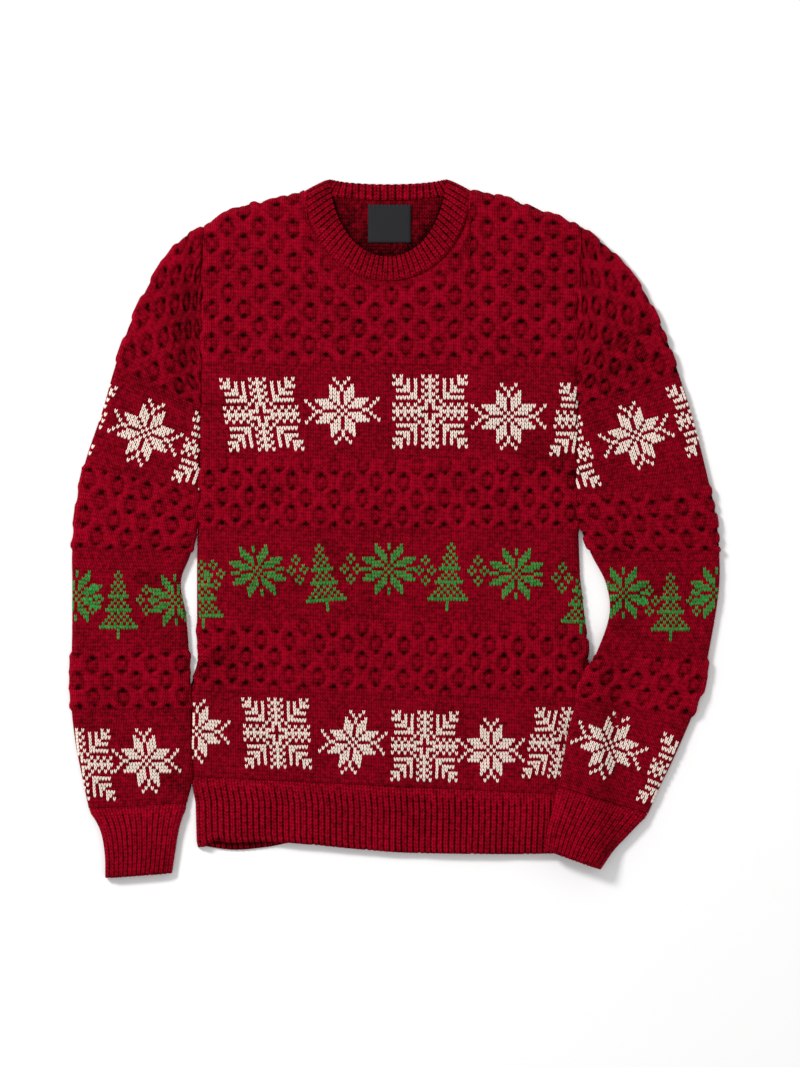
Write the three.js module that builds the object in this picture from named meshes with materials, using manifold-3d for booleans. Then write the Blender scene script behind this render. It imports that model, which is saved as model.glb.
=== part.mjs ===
// A knitted crew-neck sweater with honeycomb cables and bands of plain knitting, laid flat on its back.
// Millimetres. +Z is up, +Y points to the collar, and the sweater lies on the plane z = 0.
// Each wall has a plain inside and carries its cables and ribs in the points of its outside.
import * as THREE from 'three';
import { mergeVertices } from 'three/addons/utils/BufferGeometryUtils.js';
import Module from 'manifold-3d';

const wasm = await Module();
wasm.setup();

// The knitted wall and how the sweater lies
const WALL = 3.5;
const HOLLOW = 3.5;
const LYING_HEIGHT = WALL + HOLLOW + WALL;
const INSIDE_HEIGHT = WALL + HOLLOW;
const SEAM = 0.3;
const EDGE_ROUND = 9;
const INSIDE_ROUND = 5.5;
const SIDE_BELLY = 4;
const UNDERSIDE_TUCK = 2.5;

// Honeycomb cable: one repeat across and along, split into quarters by the mesh
const REPEAT_LONG = 33;
const QUARTERS = 4;
const CABLE_HEIGHT = 2.6;
const PINCHED_CELL = 0.75;
const STRAND_SWAY = 3.5;
const FULL_SWAY_WIDTH = 115;

// Rib knitting of the hem, the cuffs and the neckband
const HEM_RIBS = 66;
const CUFF_RIBS = 15;
const NECK_FRONT_RIBS = 43;
const NECK_BACK_RIBS = 24;
const RIB_HEIGHT = 1.5;

// Columns and rows of the meshes
const HEM_ROWS = [0, 0.15, 0.55, 1];
const HEM_PLAIN_COLUMNS = 3;
const HEM_INSIDE_COLUMNS = 8;
const NECK_STEPS = 40;
const NECK_FOLD_STEPS = 3;
const SAME_POINT = 1e-4;
const YOKE_LONG = 175;
const YOKE_INSIDE_ROWS = [0.2, 0.39, 0.557, 0.8];
const BODY_COLUMNS = 50;
const SLEEVE_COLUMNS = 14;
const PLAIN_STEP = 32;
const INSIDE_STEP = 55;
const SIDE_OFFSETS = [0, 0.5, 2, 4.5];
const TUBE_OFFSETS = [0, 0.5, 2];
const INSIDE_LEAN = 0.8;
const INSIDE_OFFSETS = [0, INSIDE_LEAN, 2.6, 5.5];
const TUBE_INSIDE_CORNER = 3;
const TUBE_INSIDE_STEPS = 4;
const UNDERSIDE_STEPS = 5;

// The two sides of the body from the hem's seam up to the end of the shoulder.
// wrap is 1 where the front folds round to the floor and 0 along the open armhole.
const BODY_SIDES = [
  { y: -330, left: -192, right: 192, wrapLeft: 1, wrapRight: 1 },
  { y: -311, left: -196, right: 193, wrapLeft: 1, wrapRight: 1 },
  { y: -275, left: -197, right: 195, wrapLeft: 1, wrapRight: 1 },
  { y: -255, left: -201, right: 196, wrapLeft: 1, wrapRight: 1 },
  { y: -214, left: -203, right: 196.5, wrapLeft: 1, wrapRight: 1 },
  { y: -165, left: -203, right: 195.5, wrapLeft: 1, wrapRight: 1 },
  { y: -135, left: -194, right: 194, wrapLeft: 1, wrapRight: 1 },
  { y: -95, left: -197, right: 192, wrapLeft: 1, wrapRight: 1 },
  { y: -44, left: -197, right: 186, wrapLeft: 1, wrapRight: 1 },
  { y: 8, left: -196, right: 184, wrapLeft: 1, wrapRight: 1 },
  { y: 53, left: -195, right: 182, wrapLeft: 1, wrapRight: 1 },
  { y: 88, left: -195, right: 185, wrapLeft: 1, wrapRight: 1 },
  { y: 215, left: -194.5, right: 185, wrapLeft: 1, wrapRight: 1 },
  { y: 238, left: -193.5, right: 185, wrapLeft: 0, wrapRight: 0 },
  { y: 290, left: -190, right: 187, wrapLeft: 0, wrapRight: 0 },
  { y: 302, left: -189, right: 187.5, wrapLeft: 0, wrapRight: 0 },
];

// The top line of the body: the shoulders, and a level stretch that the neck is cut from
const SHOULDER_LINE = [
  { x: -210, y: 300 },
  { x: -189, y: 302 },
  { x: -173, y: 313 },
  { x: -150, y: 322 },
  { x: -120, y: 328 },
  { x: -94, y: 335 },
  { x: -60, y: 338 },
  { x: 60, y: 338 },
  { x: 94, y: 334 },
  { x: 124, y: 326 },
  { x: 142, y: 318 },
  { x: 169, y: 310 },
  { x: 187, y: 302 },
  { x: 210, y: 300 },
];

// Where one kind of knitting on the body ends and the next begins, at its two sides
const BODY_ZONES = [
  { knit: 'plain', fromLeft: -248, fromRight: -267, toLeft: -163, toRight: -172 },
  { knit: 'honeycomb', fromLeft: -163, fromRight: -172, toLeft: -90, toRight: -95 },
  { knit: 'plain', fromLeft: -90, fromRight: -95, toLeft: -2, toRight: -4 },
  { knit: 'honeycomb', fromLeft: -2, fromRight: -4, toLeft: 71, toRight: 68 },
  { knit: 'plain', fromLeft: 71, fromRight: 68, toLeft: 163, toRight: 160 },
];

// The hem's lower edge, and the heights between which its two sides run
const HEM_BOTTOM = [
  { x: -210, front: -317, back: -316 },
  { x: -189, front: -317, back: -318 },
  { x: -183, front: -312.5, back: -319 },
  { x: -163, front: -313, back: -321.5 },
  { x: -128, front: -312, back: -319 },
  { x: -94, front: -314, back: -313 },
  { x: -41, front: -319, back: -316 },
  { x: 8, front: -323, back: -320 },
  { x: 59, front: -324, back: -321 },
  { x: 151, front: -324, back: -321 },
  { x: 210, front: -321, back: -318 },
];
const HEM_LOW_Y = -317;
const HEM_HIGH_Y = -250;

// The sleeves, a row for each section from the armhole down. near is the side by the body, far the outer side.
// A cloth row that lies level in the photograph has near and far at one height; by the shoulder the rows fan out.
const LEFT_SLEEVE = [
  { nearX: -193.9, nearY: 238, farX: -189.8, farY: 298, knit: 'honeycomb' },
  { nearX: -195.1, nearY: 214, farX: -207, farY: 291, knit: 'honeycomb' },
  { nearX: -195.2, nearY: 190, farX: -225, farY: 274, knit: 'honeycomb' },
  { nearX: -195.3, nearY: 166, farX: -243, farY: 246, knit: 'honeycomb' },
  { nearX: -195.4, nearY: 142, farX: -262, farY: 207, knit: 'honeycomb' },
  { nearX: -195.5, nearY: 119, farX: -279, farY: 160, knit: 'plain' },
  { nearX: -195.5, nearY: 80, farX: -291, farY: 118, knit: 'plain' },
  { nearX: -195.8, nearY: 36, farX: -309, farY: 64, knit: 'honeycomb' },
  { nearX: -196.8, nearY: 6, farX: -317, farY: 20, knit: 'honeycomb' },
  { nearX: -203, nearY: -25, farX: -321.5, farY: -22, knit: 'plain' },
  { nearX: -213, nearY: -54, farX: -321.5, farY: -52, knit: 'plain' },
  { nearX: -208, nearY: -86, farX: -321.5, farY: -86, knit: 'plain' },
  { nearX: -205, nearY: -122, farX: -322, farY: -123, knit: 'honeycomb' },
  { nearX: -206, nearY: -152, farX: -323, farY: -153, knit: 'honeycomb' },
  { nearX: -204, nearY: -182, farX: -322, farY: -183, knit: 'plain' },
  { nearX: -203.8, nearY: -214, farX: -318, farY: -216, knit: 'plain' },
  { nearX: -203.5, nearY: -246, farX: -311.5, farY: -249, knit: 'plain' },
  { nearX: -207, nearY: -274, farX: -305, farY: -280, knit: 'plain' },
];

const LEFT_CUFF = [
  { nearX: -207.2, nearY: -274.4, farX: -304.6, farY: -280.4, knit: 'rib' },
  { nearX: -215, nearY: -300, farX: -293, farY: -302, knit: 'rib' },
  { nearX: -219, nearY: -324, farX: -288.5, farY: -326, knit: 'rib' },
  { nearX: -222, nearY: -344, farX: -288, farY: -349, knit: 'rib' },
];

const RIGHT_SLEEVE = [
  { nearX: 185.4, nearY: 238, farX: 187.8, farY: 298, knit: 'honeycomb' },
  { nearX: 185.6, nearY: 214, farX: 206, farY: 284, knit: 'honeycomb' },
  { nearX: 185.6, nearY: 190, farX: 226, farY: 267, knit: 'honeycomb' },
  { nearX: 185.6, nearY: 166, farX: 248, farY: 238, knit: 'honeycomb' },
  { nearX: 185.6, nearY: 142, farX: 268, farY: 199, knit: 'honeycomb' },
  { nearX: 185.6, nearY: 119, farX: 285, farY: 152, knit: 'plain' },
  { nearX: 184.8, nearY: 76, farX: 299, farY: 108, knit: 'plain' },
  { nearX: 183.2, nearY: 34, farX: 315, farY: 44, knit: 'honeycomb' },
  { nearX: 186.2, nearY: 3, farX: 322, farY: 8, knit: 'honeycomb' },
  { nearX: 197, nearY: -26, farX: 325, farY: -25, knit: 'plain' },
  { nearX: 212, nearY: -56, farX: 325, farY: -56, knit: 'plain' },
  { nearX: 215, nearY: -88, farX: 321, farY: -88, knit: 'plain' },
  { nearX: 201, nearY: -126, farX: 313.5, farY: -130, knit: 'honeycomb' },
  { nearX: 187, nearY: -150, farX: 309, farY: -160, knit: 'honeycomb' },
  { nearX: 181.5, nearY: -172, farX: 297, farY: -190, knit: 'plain' },
  { nearX: 173.5, nearY: -202, farX: 280, farY: -229, knit: 'plain' },
  { nearX: 168.5, nearY: -232, farX: 266, farY: -258, knit: 'plain' },
  { nearX: 164.5, nearY: -257, farX: 254, farY: -285, knit: 'plain' },
];

const RIGHT_CUFF = [
  { nearX: 164.3, nearY: -257.5, farX: 253.6, farY: -285.4, knit: 'rib' },
  { nearX: 158.5, nearY: -280, farX: 235, farY: -305, knit: 'rib' },
  { nearX: 153, nearY: -302, farX: 219, farY: -322, knit: 'rib' },
  { nearX: 151, nearY: -320, farX: 206, farY: -340, knit: 'rib' },
];

// The lower right sleeve lies over the side of the body
const SLEEVE_LIFT = 14;
const LIFT_FROM_Y = -78;
const LIFT_FULL_Y = -128;
const DRAPE_REACH = 30;
const DRAPE_CLEAR = 3;

// The largest folds: a trough has a negative height, a ridge a positive one
const FOLDS = [
  { fromX: 184, fromY: 148, toX: 262, toY: 176, width: 7, height: -3 },
  { fromX: 192, fromY: 162, toX: 268, toY: 190, width: 8, height: 1.8 },
  { fromX: 219, fromY: -76, toX: 262, toY: -62, width: 8, height: -2.6 },
  { fromX: 222, fromY: -96, toX: 250, toY: -112, width: 9, height: -1.8 },
  { fromX: -204, fromY: 205, toX: -212, toY: 118, width: 13, height: -3 },
  { fromX: -214, fromY: -58, toX: -252, toY: -50, width: 8, height: -2.2 },
  { fromX: -206, fromY: -262, toX: -236, toY: -236, width: 9, height: -2 },
  { fromX: -197, fromY: -140, toX: -166, toY: -128, width: 10, height: -2.6 },
  { fromX: 178, fromY: 58, toX: 140, toY: 74, width: 12, height: -2 },
  { fromX: -120, fromY: -310, toX: -108, toY: -262, width: 14, height: -1.6 },
  { fromX: 20, fromY: -318, toX: 26, toY: -272, width: 16, height: -1.4 },
];

// Neckband: a short tube of rib, its front lying on the body and its back on the floor
// Each edge is a ring: its half width, how far its front drops and its back dips below the folds, and its height.
const NECK_X = -6;
const NECK_SEAM = { y: 336, half: 81.5, drop: 89, dip: 8.3, high: 8.8 };
const NECK_EDGE = { y: 348.5, half: 58, drop: 78, dip: 5.2, high: 7.6 };
const NECK_LOW = 3.4;
const NECK_FOLD = 0.006;
const NECK_BULGE = 0.8;
const NECK_THINNED = 0.7;

const LABEL_WIDTH = 43;
const LABEL_LENGTH = 38;
const LABEL_THICK = 0.7;
const LABEL_X = -4.5;
const LABEL_TOP_Y = 323;

const CRIMSON = '#8d0019';
const CHARCOAL = '#2b2d30';
const WOOL_ROUGHNESS = 0.95;
const SATIN_ROUGHNESS = 0.8;

function columnAt(table, key, at, value) {
  const last = table.length - 1;
  if (at <= table[0][key]) return table[0][value];
  if (at >= table[last][key]) return table[last][value];
  const row = table.findIndex((entry) => entry[key] > at) - 1;
  const share = (at - table[row][key]) / (table[row + 1][key] - table[row][key]);
  return THREE.MathUtils.lerp(table[row][value], table[row + 1][value], share);
}

// How high a rounded edge has risen, from 0 at the edge to 1 at its full round
function rise(distance, round) {
  const share = THREE.MathUtils.clamp(distance / round, 0, 1);
  return Math.sqrt(1 - (1 - share) ** 2);
}

function foldHeight(x, y) {
  let height = 0;
  for (const fold of FOLDS) {
    const alongX = fold.toX - fold.fromX;
    const alongY = fold.toY - fold.fromY;
    const reach = alongX * alongX + alongY * alongY;
    const share = THREE.MathUtils.clamp(((x - fold.fromX) * alongX + (y - fold.fromY) * alongY) / reach, 0, 1);
    const away = Math.hypot(x - fold.fromX - share * alongX, y - fold.fromY - share * alongY);
    height += fold.height * Math.exp(-((away / fold.width) ** 2));
  }
  return height;
}

// The honeycomb at a quarter point: two strands sway apart and together round each cell
function honeycomb(column, row) {
  const sway = Math.cos((row / QUARTERS) * 2 * Math.PI);
  const place = ((column % QUARTERS) + QUARTERS) % QUARTERS;
  if (place === 0) return { shift: STRAND_SWAY * sway, height: 1 };
  if (place === 2) return { shift: -STRAND_SWAY * sway, height: 1 };
  const pinch = place === 1 ? sway : -sway;
  return { shift: 0, height: PINCHED_CELL * Math.max(0, pinch) };
}

// Faces over a grid of points, each square split along its higher diagonal so that strands stay whole
function addGrid(triangles, grid, closed, reversed) {
  const columns = grid[0].length;
  const across = closed ? columns : columns - 1;
  for (let row = 0; row + 1 < grid.length; row += 1) {
    for (let column = 0; column < across; column += 1) {
      const next = (column + 1) % columns;
      const a = grid[row][column];
      const b = grid[row][next];
      const c = grid[row + 1][next];
      const d = grid[row + 1][column];
      const pair = a.z + c.z >= b.z + d.z ? [[a, b, c], [a, c, d]] : [[a, b, d], [b, c, d]];
      triangles.push(...pair.map((corners) => (reversed ? corners.reverse() : corners)));
    }
  }
}

// Joins an outer loop to an inner one. Each loop's points carry share, their place round it from 0 to 1.
function addRim(triangles, outer, inner, reversed) {
  let o = 0;
  let i = 0;
  while (o < outer.length || i < inner.length) {
    const nextOuter = o + 1 < outer.length ? outer[o + 1].share : 1 + (o >= outer.length ? 1 : 0);
    const nextInner = i + 1 < inner.length ? inner[i + 1].share : 1 + (i >= inner.length ? 1 : 0);
    const here = outer[o % outer.length].point;
    const there = inner[i % inner.length].point;
    let corner;
    if (nextOuter <= nextInner) {
      corner = [outer[(o + 1) % outer.length].point, here, there];
      o += 1;
    } else {
      corner = [there, inner[(i + 1) % inner.length].point, here];
      i += 1;
    }
    if (reversed) corner.reverse();
    triangles.push(corner);
  }
}

function solidGeometry(triangles) {
  const positions = [];
  for (const corners of triangles) {
    for (const point of corners) positions.push(point.x, point.y, point.z);
  }
  const loose = new THREE.BufferGeometry();
  loose.setAttribute('position', new THREE.Float32BufferAttribute(positions, 3));
  const geometry = mergeVertices(loose, SAME_POINT);
  const index = geometry.index.array;
  const place = geometry.attributes.position;
  const [a, b, c] = [new THREE.Vector3(), new THREE.Vector3(), new THREE.Vector3()];
  let volume = 0;
  for (let corner = 0; corner < index.length; corner += 3) {
    a.fromBufferAttribute(place, index[corner]);
    b.fromBufferAttribute(place, index[corner + 1]);
    c.fromBufferAttribute(place, index[corner + 2]);
    volume += a.dot(b.cross(c));
  }
  if (volume < 0) {
    for (let corner = 0; corner < index.length; corner += 3) {
      const kept = index[corner];
      index[corner] = index[corner + 1];
      index[corner + 1] = kept;
    }
  }
  geometry.computeVertexNormals();
  return geometry;
}

// The four sides of a sheet's grid as one loop, the four corners at the quarters of its share
function sheetLoop(grid) {
  const rows = grid.length;
  const columns = grid[0].length;
  const first = grid[0];
  const last = grid[rows - 1];
  const left = grid.map((line) => line[0]);
  const right = grid.map((line) => line[columns - 1]);
  const sides = [first, right, [...last].reverse(), [...left].reverse()];
  const loop = [];
  sides.forEach((side, number) => {
    const start = side[0];
    const end = side[side.length - 1];
    const across = number % 2 === 0 ? 'x' : 'y';
    for (const point of side.slice(0, -1)) {
      const share = (point[across] - start[across]) / (end[across] - start[across]);
      loop.push({ point, share: (number + share) / 4 });
    }
  });
  return loop;
}

function sheetGeometry(outer, inner) {
  const triangles = [];
  addGrid(triangles, outer, false, false);
  addGrid(triangles, inner, false, true);
  addRim(triangles, sheetLoop(outer), sheetLoop(inner), false);
  return solidGeometry(triangles);
}

function tubeLoop(line, shares) {
  return line.map((point, number) => ({ point, share: shares[number] }));
}

// Rows of a sheet from its zones, each with the share of the way up and its place in the cable repeat
function zoneRows(zones, step) {
  const rows = [];
  for (const zone of zones) {
    const long = zone.toLeft - zone.fromLeft;
    const pitch = zone.knit === 'honeycomb' ? REPEAT_LONG / QUARTERS : step;
    const count = Math.max(1, Math.round(long / pitch));
    for (let row = rows.length === 0 ? 0 : 1; row <= count; row += 1) {
      const share = row / count;
      rows.push({
        left: THREE.MathUtils.lerp(zone.fromLeft, zone.toLeft, share),
        right: THREE.MathUtils.lerp(zone.fromRight, zone.toRight, share),
        cable: zone.knit === 'honeycomb' && row > 0 && row < count ? row : null,
      });
    }
  }
  return rows;
}

function bodySide(y, side) {
  const name = side < 0 ? 'Left' : 'Right';
  return {
    x: columnAt(BODY_SIDES, 'y', y, name.toLowerCase()),
    wrap: columnAt(BODY_SIDES, 'y', y, `wrap${name}`),
  };
}

// A point on the outside of the body's front
function frontPoint(x, y, fromTop, relief) {
  const left = bodySide(y, -1);
  const right = bodySide(y, 1);
  const leftRise = Math.max(rise(x - left.x, EDGE_ROUND), 1 - left.wrap);
  const rightRise = Math.max(rise(right.x - x, EDGE_ROUND), 1 - right.wrap);
  const topRise = rise(fromTop, EDGE_ROUND);
  const up = Math.min(leftRise, rightRise, topRise);
  return new THREE.Vector3(x, y, up * (LYING_HEIGHT + relief + foldHeight(x, y)));
}

function insidePoint(x, y, offsets, roof) {
  const up = Math.min(...offsets.map((distance) => rise(distance, INSIDE_ROUND)));
  return new THREE.Vector3(x, y, Math.max(0, up * (roof + Math.min(0, foldHeight(x, y)))));
}

function frontOuterRow(row) {
  const line = [];
  const left = bodySide(row.left, -1).x;
  const right = bodySide(row.right, 1).x;
  const wide = right - left;
  const offsets = [];
  SIDE_OFFSETS.forEach((offset) => offsets.push({ offset, column: null }));
  for (let column = 1; column < BODY_COLUMNS; column += 1) {
    offsets.push({ offset: (wide * column) / BODY_COLUMNS, column });
  }
  [...SIDE_OFFSETS].reverse().forEach((offset) => offsets.push({ offset: wide - offset, column: null }));
  for (const { offset, column } of offsets) {
    const cell = honeycomb(column ?? 0, row.cable ?? 0);
    const cabled = row.cable !== null && column !== null;
    const x = left + offset + (cabled ? cell.shift : 0);
    const y = levelY(row, x, offset / wide, 0);
    const fromTop = row.up === undefined ? Infinity : shoulderY(x) - y;
    line.push(frontPoint(x, y, fromTop, cabled ? cell.height * CABLE_HEIGHT : 0));
  }
  return line;
}

function shoulderY(x) {
  return columnAt(SHOULDER_LINE, 'x', x, 'y');
}

// The height of a row of the front at one place: level across the body, bent to the shoulders in the yoke
function levelY(row, x, share, inset) {
  if (row.up === undefined) return THREE.MathUtils.lerp(row.left, row.right, share);
  const yoke = BODY_ZONES[BODY_ZONES.length - 1];
  const start = THREE.MathUtils.lerp(yoke.toLeft, yoke.toRight, share);
  return THREE.MathUtils.lerp(start, shoulderY(x) - inset, row.up) - row.top;
}

// A row of the yoke, which runs from the top plain band up to the shoulder line
function yokeRow(up, top, inset, cable) {
  const yoke = BODY_ZONES[BODY_ZONES.length - 1];
  const end = BODY_SIDES[BODY_SIDES.length - 1].y - inset;
  return {
    up,
    top,
    cable,
    left: THREE.MathUtils.lerp(yoke.toLeft, end, up) - top,
    right: THREE.MathUtils.lerp(yoke.toRight, end, up) - top,
  };
}

function yokeRows() {
  const count = Math.round(YOKE_LONG / (REPEAT_LONG / QUARTERS));
  const rows = [];
  for (let row = 1; row < count; row += 1) rows.push(yokeRow(row / count, 0, 0, row));
  for (const offset of [...SIDE_OFFSETS].reverse()) rows.push(yokeRow(1, offset, 0, null));
  return rows;
}

function frontOuterGrid() {
  const grid = zoneRows(BODY_ZONES, PLAIN_STEP).map((row) => frontOuterRow(row));
  for (const row of yokeRows()) grid.push(frontOuterRow(row));
  return grid;
}

// The plain inside of a front sheet between two levels, set in from its outline
function frontInnerGrid(levels) {
  return levels.map((level) => {
    const left = bodySide(level.left, -1);
    const right = bodySide(level.right, 1);
    const from = left.x + WALL * left.wrap;
    const to = right.x - WALL * right.wrap;
    const count = Math.round((to - from) / INSIDE_STEP);
    const places = INSIDE_OFFSETS.map((offset) => from + offset);
    for (let column = 1; column < count; column += 1) {
      places.push(THREE.MathUtils.lerp(from, to, column / count));
    }
    [...INSIDE_OFFSETS].reverse().forEach((offset) => places.push(to - offset));
    return places.map((x) => {
      const share = (x - from) / (to - from);
      const y = levelY(level, x, share, WALL);
      const fromTop = level.up === undefined ? Infinity : shoulderY(x) - WALL - y;
      const leftGap = left.wrap < 1 ? x - from + (1 - left.wrap) * INSIDE_ROUND : x - from;
      const rightGap = right.wrap < 1 ? to - x + (1 - right.wrap) * INSIDE_ROUND : to - x;
      return insidePoint(x, y, [leftGap, rightGap, fromTop], INSIDE_HEIGHT);
    });
  });
}

function frontInnerLevels() {
  const levels = zoneRows(BODY_ZONES.map((zone) => ({ ...zone, knit: 'plain' })), INSIDE_STEP);
  for (const up of YOKE_INSIDE_ROWS) levels.push(yokeRow(up, 0, WALL, null));
  for (const offset of [...INSIDE_OFFSETS].reverse()) levels.push(yokeRow(1, offset, WALL, null));
  return levels;
}

function extruded(outline, depth, lift) {
  const shape = new THREE.Shape(outline);
  const geometry = new THREE.ExtrudeGeometry(shape, { depth, bevelEnabled: false, steps: 1 });
  geometry.translate(0, 0, lift);
  return geometry;
}

function toManifold(geometry) {
  const bare = geometry.clone();
  bare.deleteAttribute('normal');
  bare.deleteAttribute('uv');
  const merged = mergeVertices(bare, SAME_POINT);
  return new wasm.Manifold(new wasm.Mesh({
    numProp: 3,
    vertProperties: new Float32Array(merged.attributes.position.array),
    triVerts: new Uint32Array(merged.index.array),
  }));
}

function fromManifold(solid) {
  const mesh = solid.getMesh();
  const geometry = new THREE.BufferGeometry();
  geometry.setAttribute('position', new THREE.BufferAttribute(mesh.vertProperties, 3));
  geometry.setIndex(new THREE.BufferAttribute(mesh.triVerts, 1));
  geometry.computeVertexNormals();
  return geometry;
}

function frontPanel() {
  const whole = sheetGeometry(frontOuterGrid(), frontInnerGrid(frontInnerLevels()));
  const neck = extruded(neckCut(), LYING_HEIGHT * 4, -LYING_HEIGHT);
  return fromManifold(toManifold(whole).subtract(toManifold(neck)));
}

function named(name, geometry, colour, roughness) {
  const material = new THREE.MeshStandardMaterial({ color: colour, roughness, metalness: 0 });
  const mesh = new THREE.Mesh(geometry, material);
  mesh.name = name;
  return mesh;
}

// A sleeve's or cuff's section at a share of its table: its two ends and its kind of knitting
function sectionAt(table, place) {
  const last = table.length - 1;
  const row = Math.min(last - 1, Math.floor(place));
  const share = place - row;
  const from = table[row];
  const to = table[row + 1];
  return {
    near: new THREE.Vector2(from.nearX, from.nearY).lerp(new THREE.Vector2(to.nearX, to.nearY), share),
    far: new THREE.Vector2(from.farX, from.farY).lerp(new THREE.Vector2(to.farX, to.farY), share),
    knit: from.knit,
  };
}

// How far the cloth is held off the floor by the body that it lies over
function liftAt(x, y) {
  const along = THREE.MathUtils.smoothstep(-y, -LIFT_FROM_Y, -LIFT_FULL_Y);
  const inside = bodySide(y, 1).x - x;
  const across = THREE.MathUtils.smoothstep(inside, -DRAPE_REACH, -DRAPE_CLEAR);
  return x > 0 ? SLEEVE_LIFT * along * across : 0;
}

function tubePoint(section, offset, height) {
  const wide = section.near.distanceTo(section.far);
  const spot = section.near.clone().lerp(section.far, offset / wide);
  return new THREE.Vector3(spot.x, spot.y, height + liftAt(spot.x, spot.y));
}

// One ring of a flattened tube's outside: over the top from near to far, and back along the underside
function outerRing(section, columns, relief) {
  const wide = section.near.distanceTo(section.far);
  const points = [];
  const shares = [];
  const overTop = TUBE_OFFSETS.map((offset) => ({ offset, column: null }));
  for (let column = 1; column < columns; column += 1) {
    overTop.push({ offset: (wide * column) / columns, column });
  }
  [...TUBE_OFFSETS].reverse().forEach((offset) => overTop.push({ offset: wide - offset, column: null }));
  for (const { offset, column } of overTop) {
    const raised = column === null ? { shift: 0, height: 0 } : relief(column);
    const up = rise(Math.min(offset, wide - offset), EDGE_ROUND);
    const point = tubePoint(section, offset + raised.shift * (wide / FULL_SWAY_WIDTH), 0);
    const top = LYING_HEIGHT + raised.height + foldHeight(point.x, point.y);
    point.z += SIDE_BELLY + (top - SIDE_BELLY) * up;
    points.push(point);
    shares.push((0.5 * offset) / wide);
  }
  for (let step = 0; step <= UNDERSIDE_STEPS; step += 1) {
    const offset = THREE.MathUtils.lerp(wide - UNDERSIDE_TUCK, UNDERSIDE_TUCK, step / UNDERSIDE_STEPS);
    points.push(tubePoint(section, offset, 0));
    shares.push(1 - (0.5 * offset) / wide);
  }
  return { points, shares };
}

function innerRing(section) {
  const wide = section.near.distanceTo(section.far);
  const middle = WALL + HOLLOW / 2;
  const corner = WALL + TUBE_INSIDE_CORNER;
  const points = [tubePoint(section, WALL, middle)];
  const shares = [0];
  for (let step = 0; step <= TUBE_INSIDE_STEPS; step += 1) {
    const offset = THREE.MathUtils.lerp(corner, wide - corner, step / TUBE_INSIDE_STEPS);
    const point = tubePoint(section, offset, INSIDE_HEIGHT);
    point.z += Math.min(0, foldHeight(point.x, point.y));
    points.push(point);
    shares.push((0.5 * offset) / wide);
  }
  points.push(tubePoint(section, wide - WALL, middle));
  shares.push(0.5);
  for (let step = 0; step <= TUBE_INSIDE_STEPS; step += 1) {
    const offset = THREE.MathUtils.lerp(wide - corner, corner, step / TUBE_INSIDE_STEPS);
    points.push(tubePoint(section, offset, WALL));
    shares.push(1 - (0.5 * offset) / wide);
  }
  return { points, shares };
}

// The rows of a tube: each with its place in the section table and in the cable repeat
function tubeRows(table) {
  const rows = [];
  let cable = 0;
  for (let number = 0; number + 1 < table.length; number += 1) {
    const from = sectionAt(table, number);
    const to = sectionAt(table, number + 1);
    const middleFrom = from.near.clone().lerp(from.far, 0.5);
    const middleTo = to.near.clone().lerp(to.far, 0.5);
    const cabled = from.knit === 'honeycomb';
    const pitch = cabled ? REPEAT_LONG / QUARTERS : PLAIN_STEP;
    const count = Math.max(1, Math.round(middleFrom.distanceTo(middleTo) / pitch));
    for (let step = 0; step < count; step += 1) {
      const starts = cabled && step === 0 && (number === 0 || table[number - 1].knit !== 'honeycomb');
      rows.push({ place: number + step / count, cable: cabled && !starts ? cable : null });
      cable = cabled ? cable + 1 : 0;
    }
  }
  rows.push({ place: table.length - 1, cable: null });
  return rows;
}

function tubeGeometry(table, columns, ribbed) {
  const outer = [];
  let outerShares = [];
  for (const row of tubeRows(table)) {
    const relief = (column) => {
      if (ribbed) return { shift: 0, height: column % 2 === 0 ? RIB_HEIGHT : 0 };
      if (row.cable === null) return { shift: 0, height: 0 };
      const cell = honeycomb(column, row.cable);
      return { shift: cell.shift, height: cell.height * CABLE_HEIGHT };
    };
    const ring = outerRing(sectionAt(table, row.place), columns, relief);
    outer.push(ring.points);
    outerShares = ring.shares;
  }
  const inner = [];
  let innerShares = [];
  for (let number = 0; number < table.length; number += 1) {
    const ring = innerRing(sectionAt(table, number));
    inner.push(ring.points);
    innerShares = ring.shares;
  }
  const triangles = [];
  addGrid(triangles, outer, true, false);
  addGrid(triangles, inner, true, true);
  addRim(triangles, tubeLoop(outer[0], outerShares), tubeLoop(inner[0], innerShares), false);
  const lastOuter = tubeLoop(outer[outer.length - 1], outerShares);
  const lastInner = tubeLoop(inner[inner.length - 1], innerShares);
  addRim(triangles, lastOuter, lastInner, true);
  return solidGeometry(triangles);
}

function hemSeamY(x) {
  const { fromLeft, fromRight } = BODY_ZONES[0];
  const left = bodySide(fromLeft, -1).x;
  const right = bodySide(fromRight, 1).x;
  return THREE.MathUtils.lerp(fromLeft, fromRight, (x - left) / (right - left)) - SEAM;
}

function hemInside() {
  const places = INSIDE_OFFSETS.map((offset) => ({ offset }));
  for (let column = 1; column < HEM_INSIDE_COLUMNS; column += 1) places.push({ part: column / HEM_INSIDE_COLUMNS });
  [...INSIDE_OFFSETS].reverse().forEach((offset) => places.push({ fromRight: offset }));
  return HEM_ROWS.map((share) => hemRow(share, WALL, places, false));
}

// The front of the hem: ribs run down to the edge
function frontHem() {
  const outer = HEM_ROWS.map((share) => hemRow(share, 0, hemColumns(), true));
  return sheetGeometry(outer, hemInside());
}

function hemColumns() {
  const places = SIDE_OFFSETS.map((offset) => ({ offset }));
  const count = 2 * HEM_RIBS;
  for (let column = HEM_PLAIN_COLUMNS; column <= count - HEM_PLAIN_COLUMNS; column += 1) {
    places.push({ part: column / count, rib: column % 2 === 0 });
  }
  [...SIDE_OFFSETS].reverse().forEach((offset) => places.push({ fromRight: offset }));
  return places;
}

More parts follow.
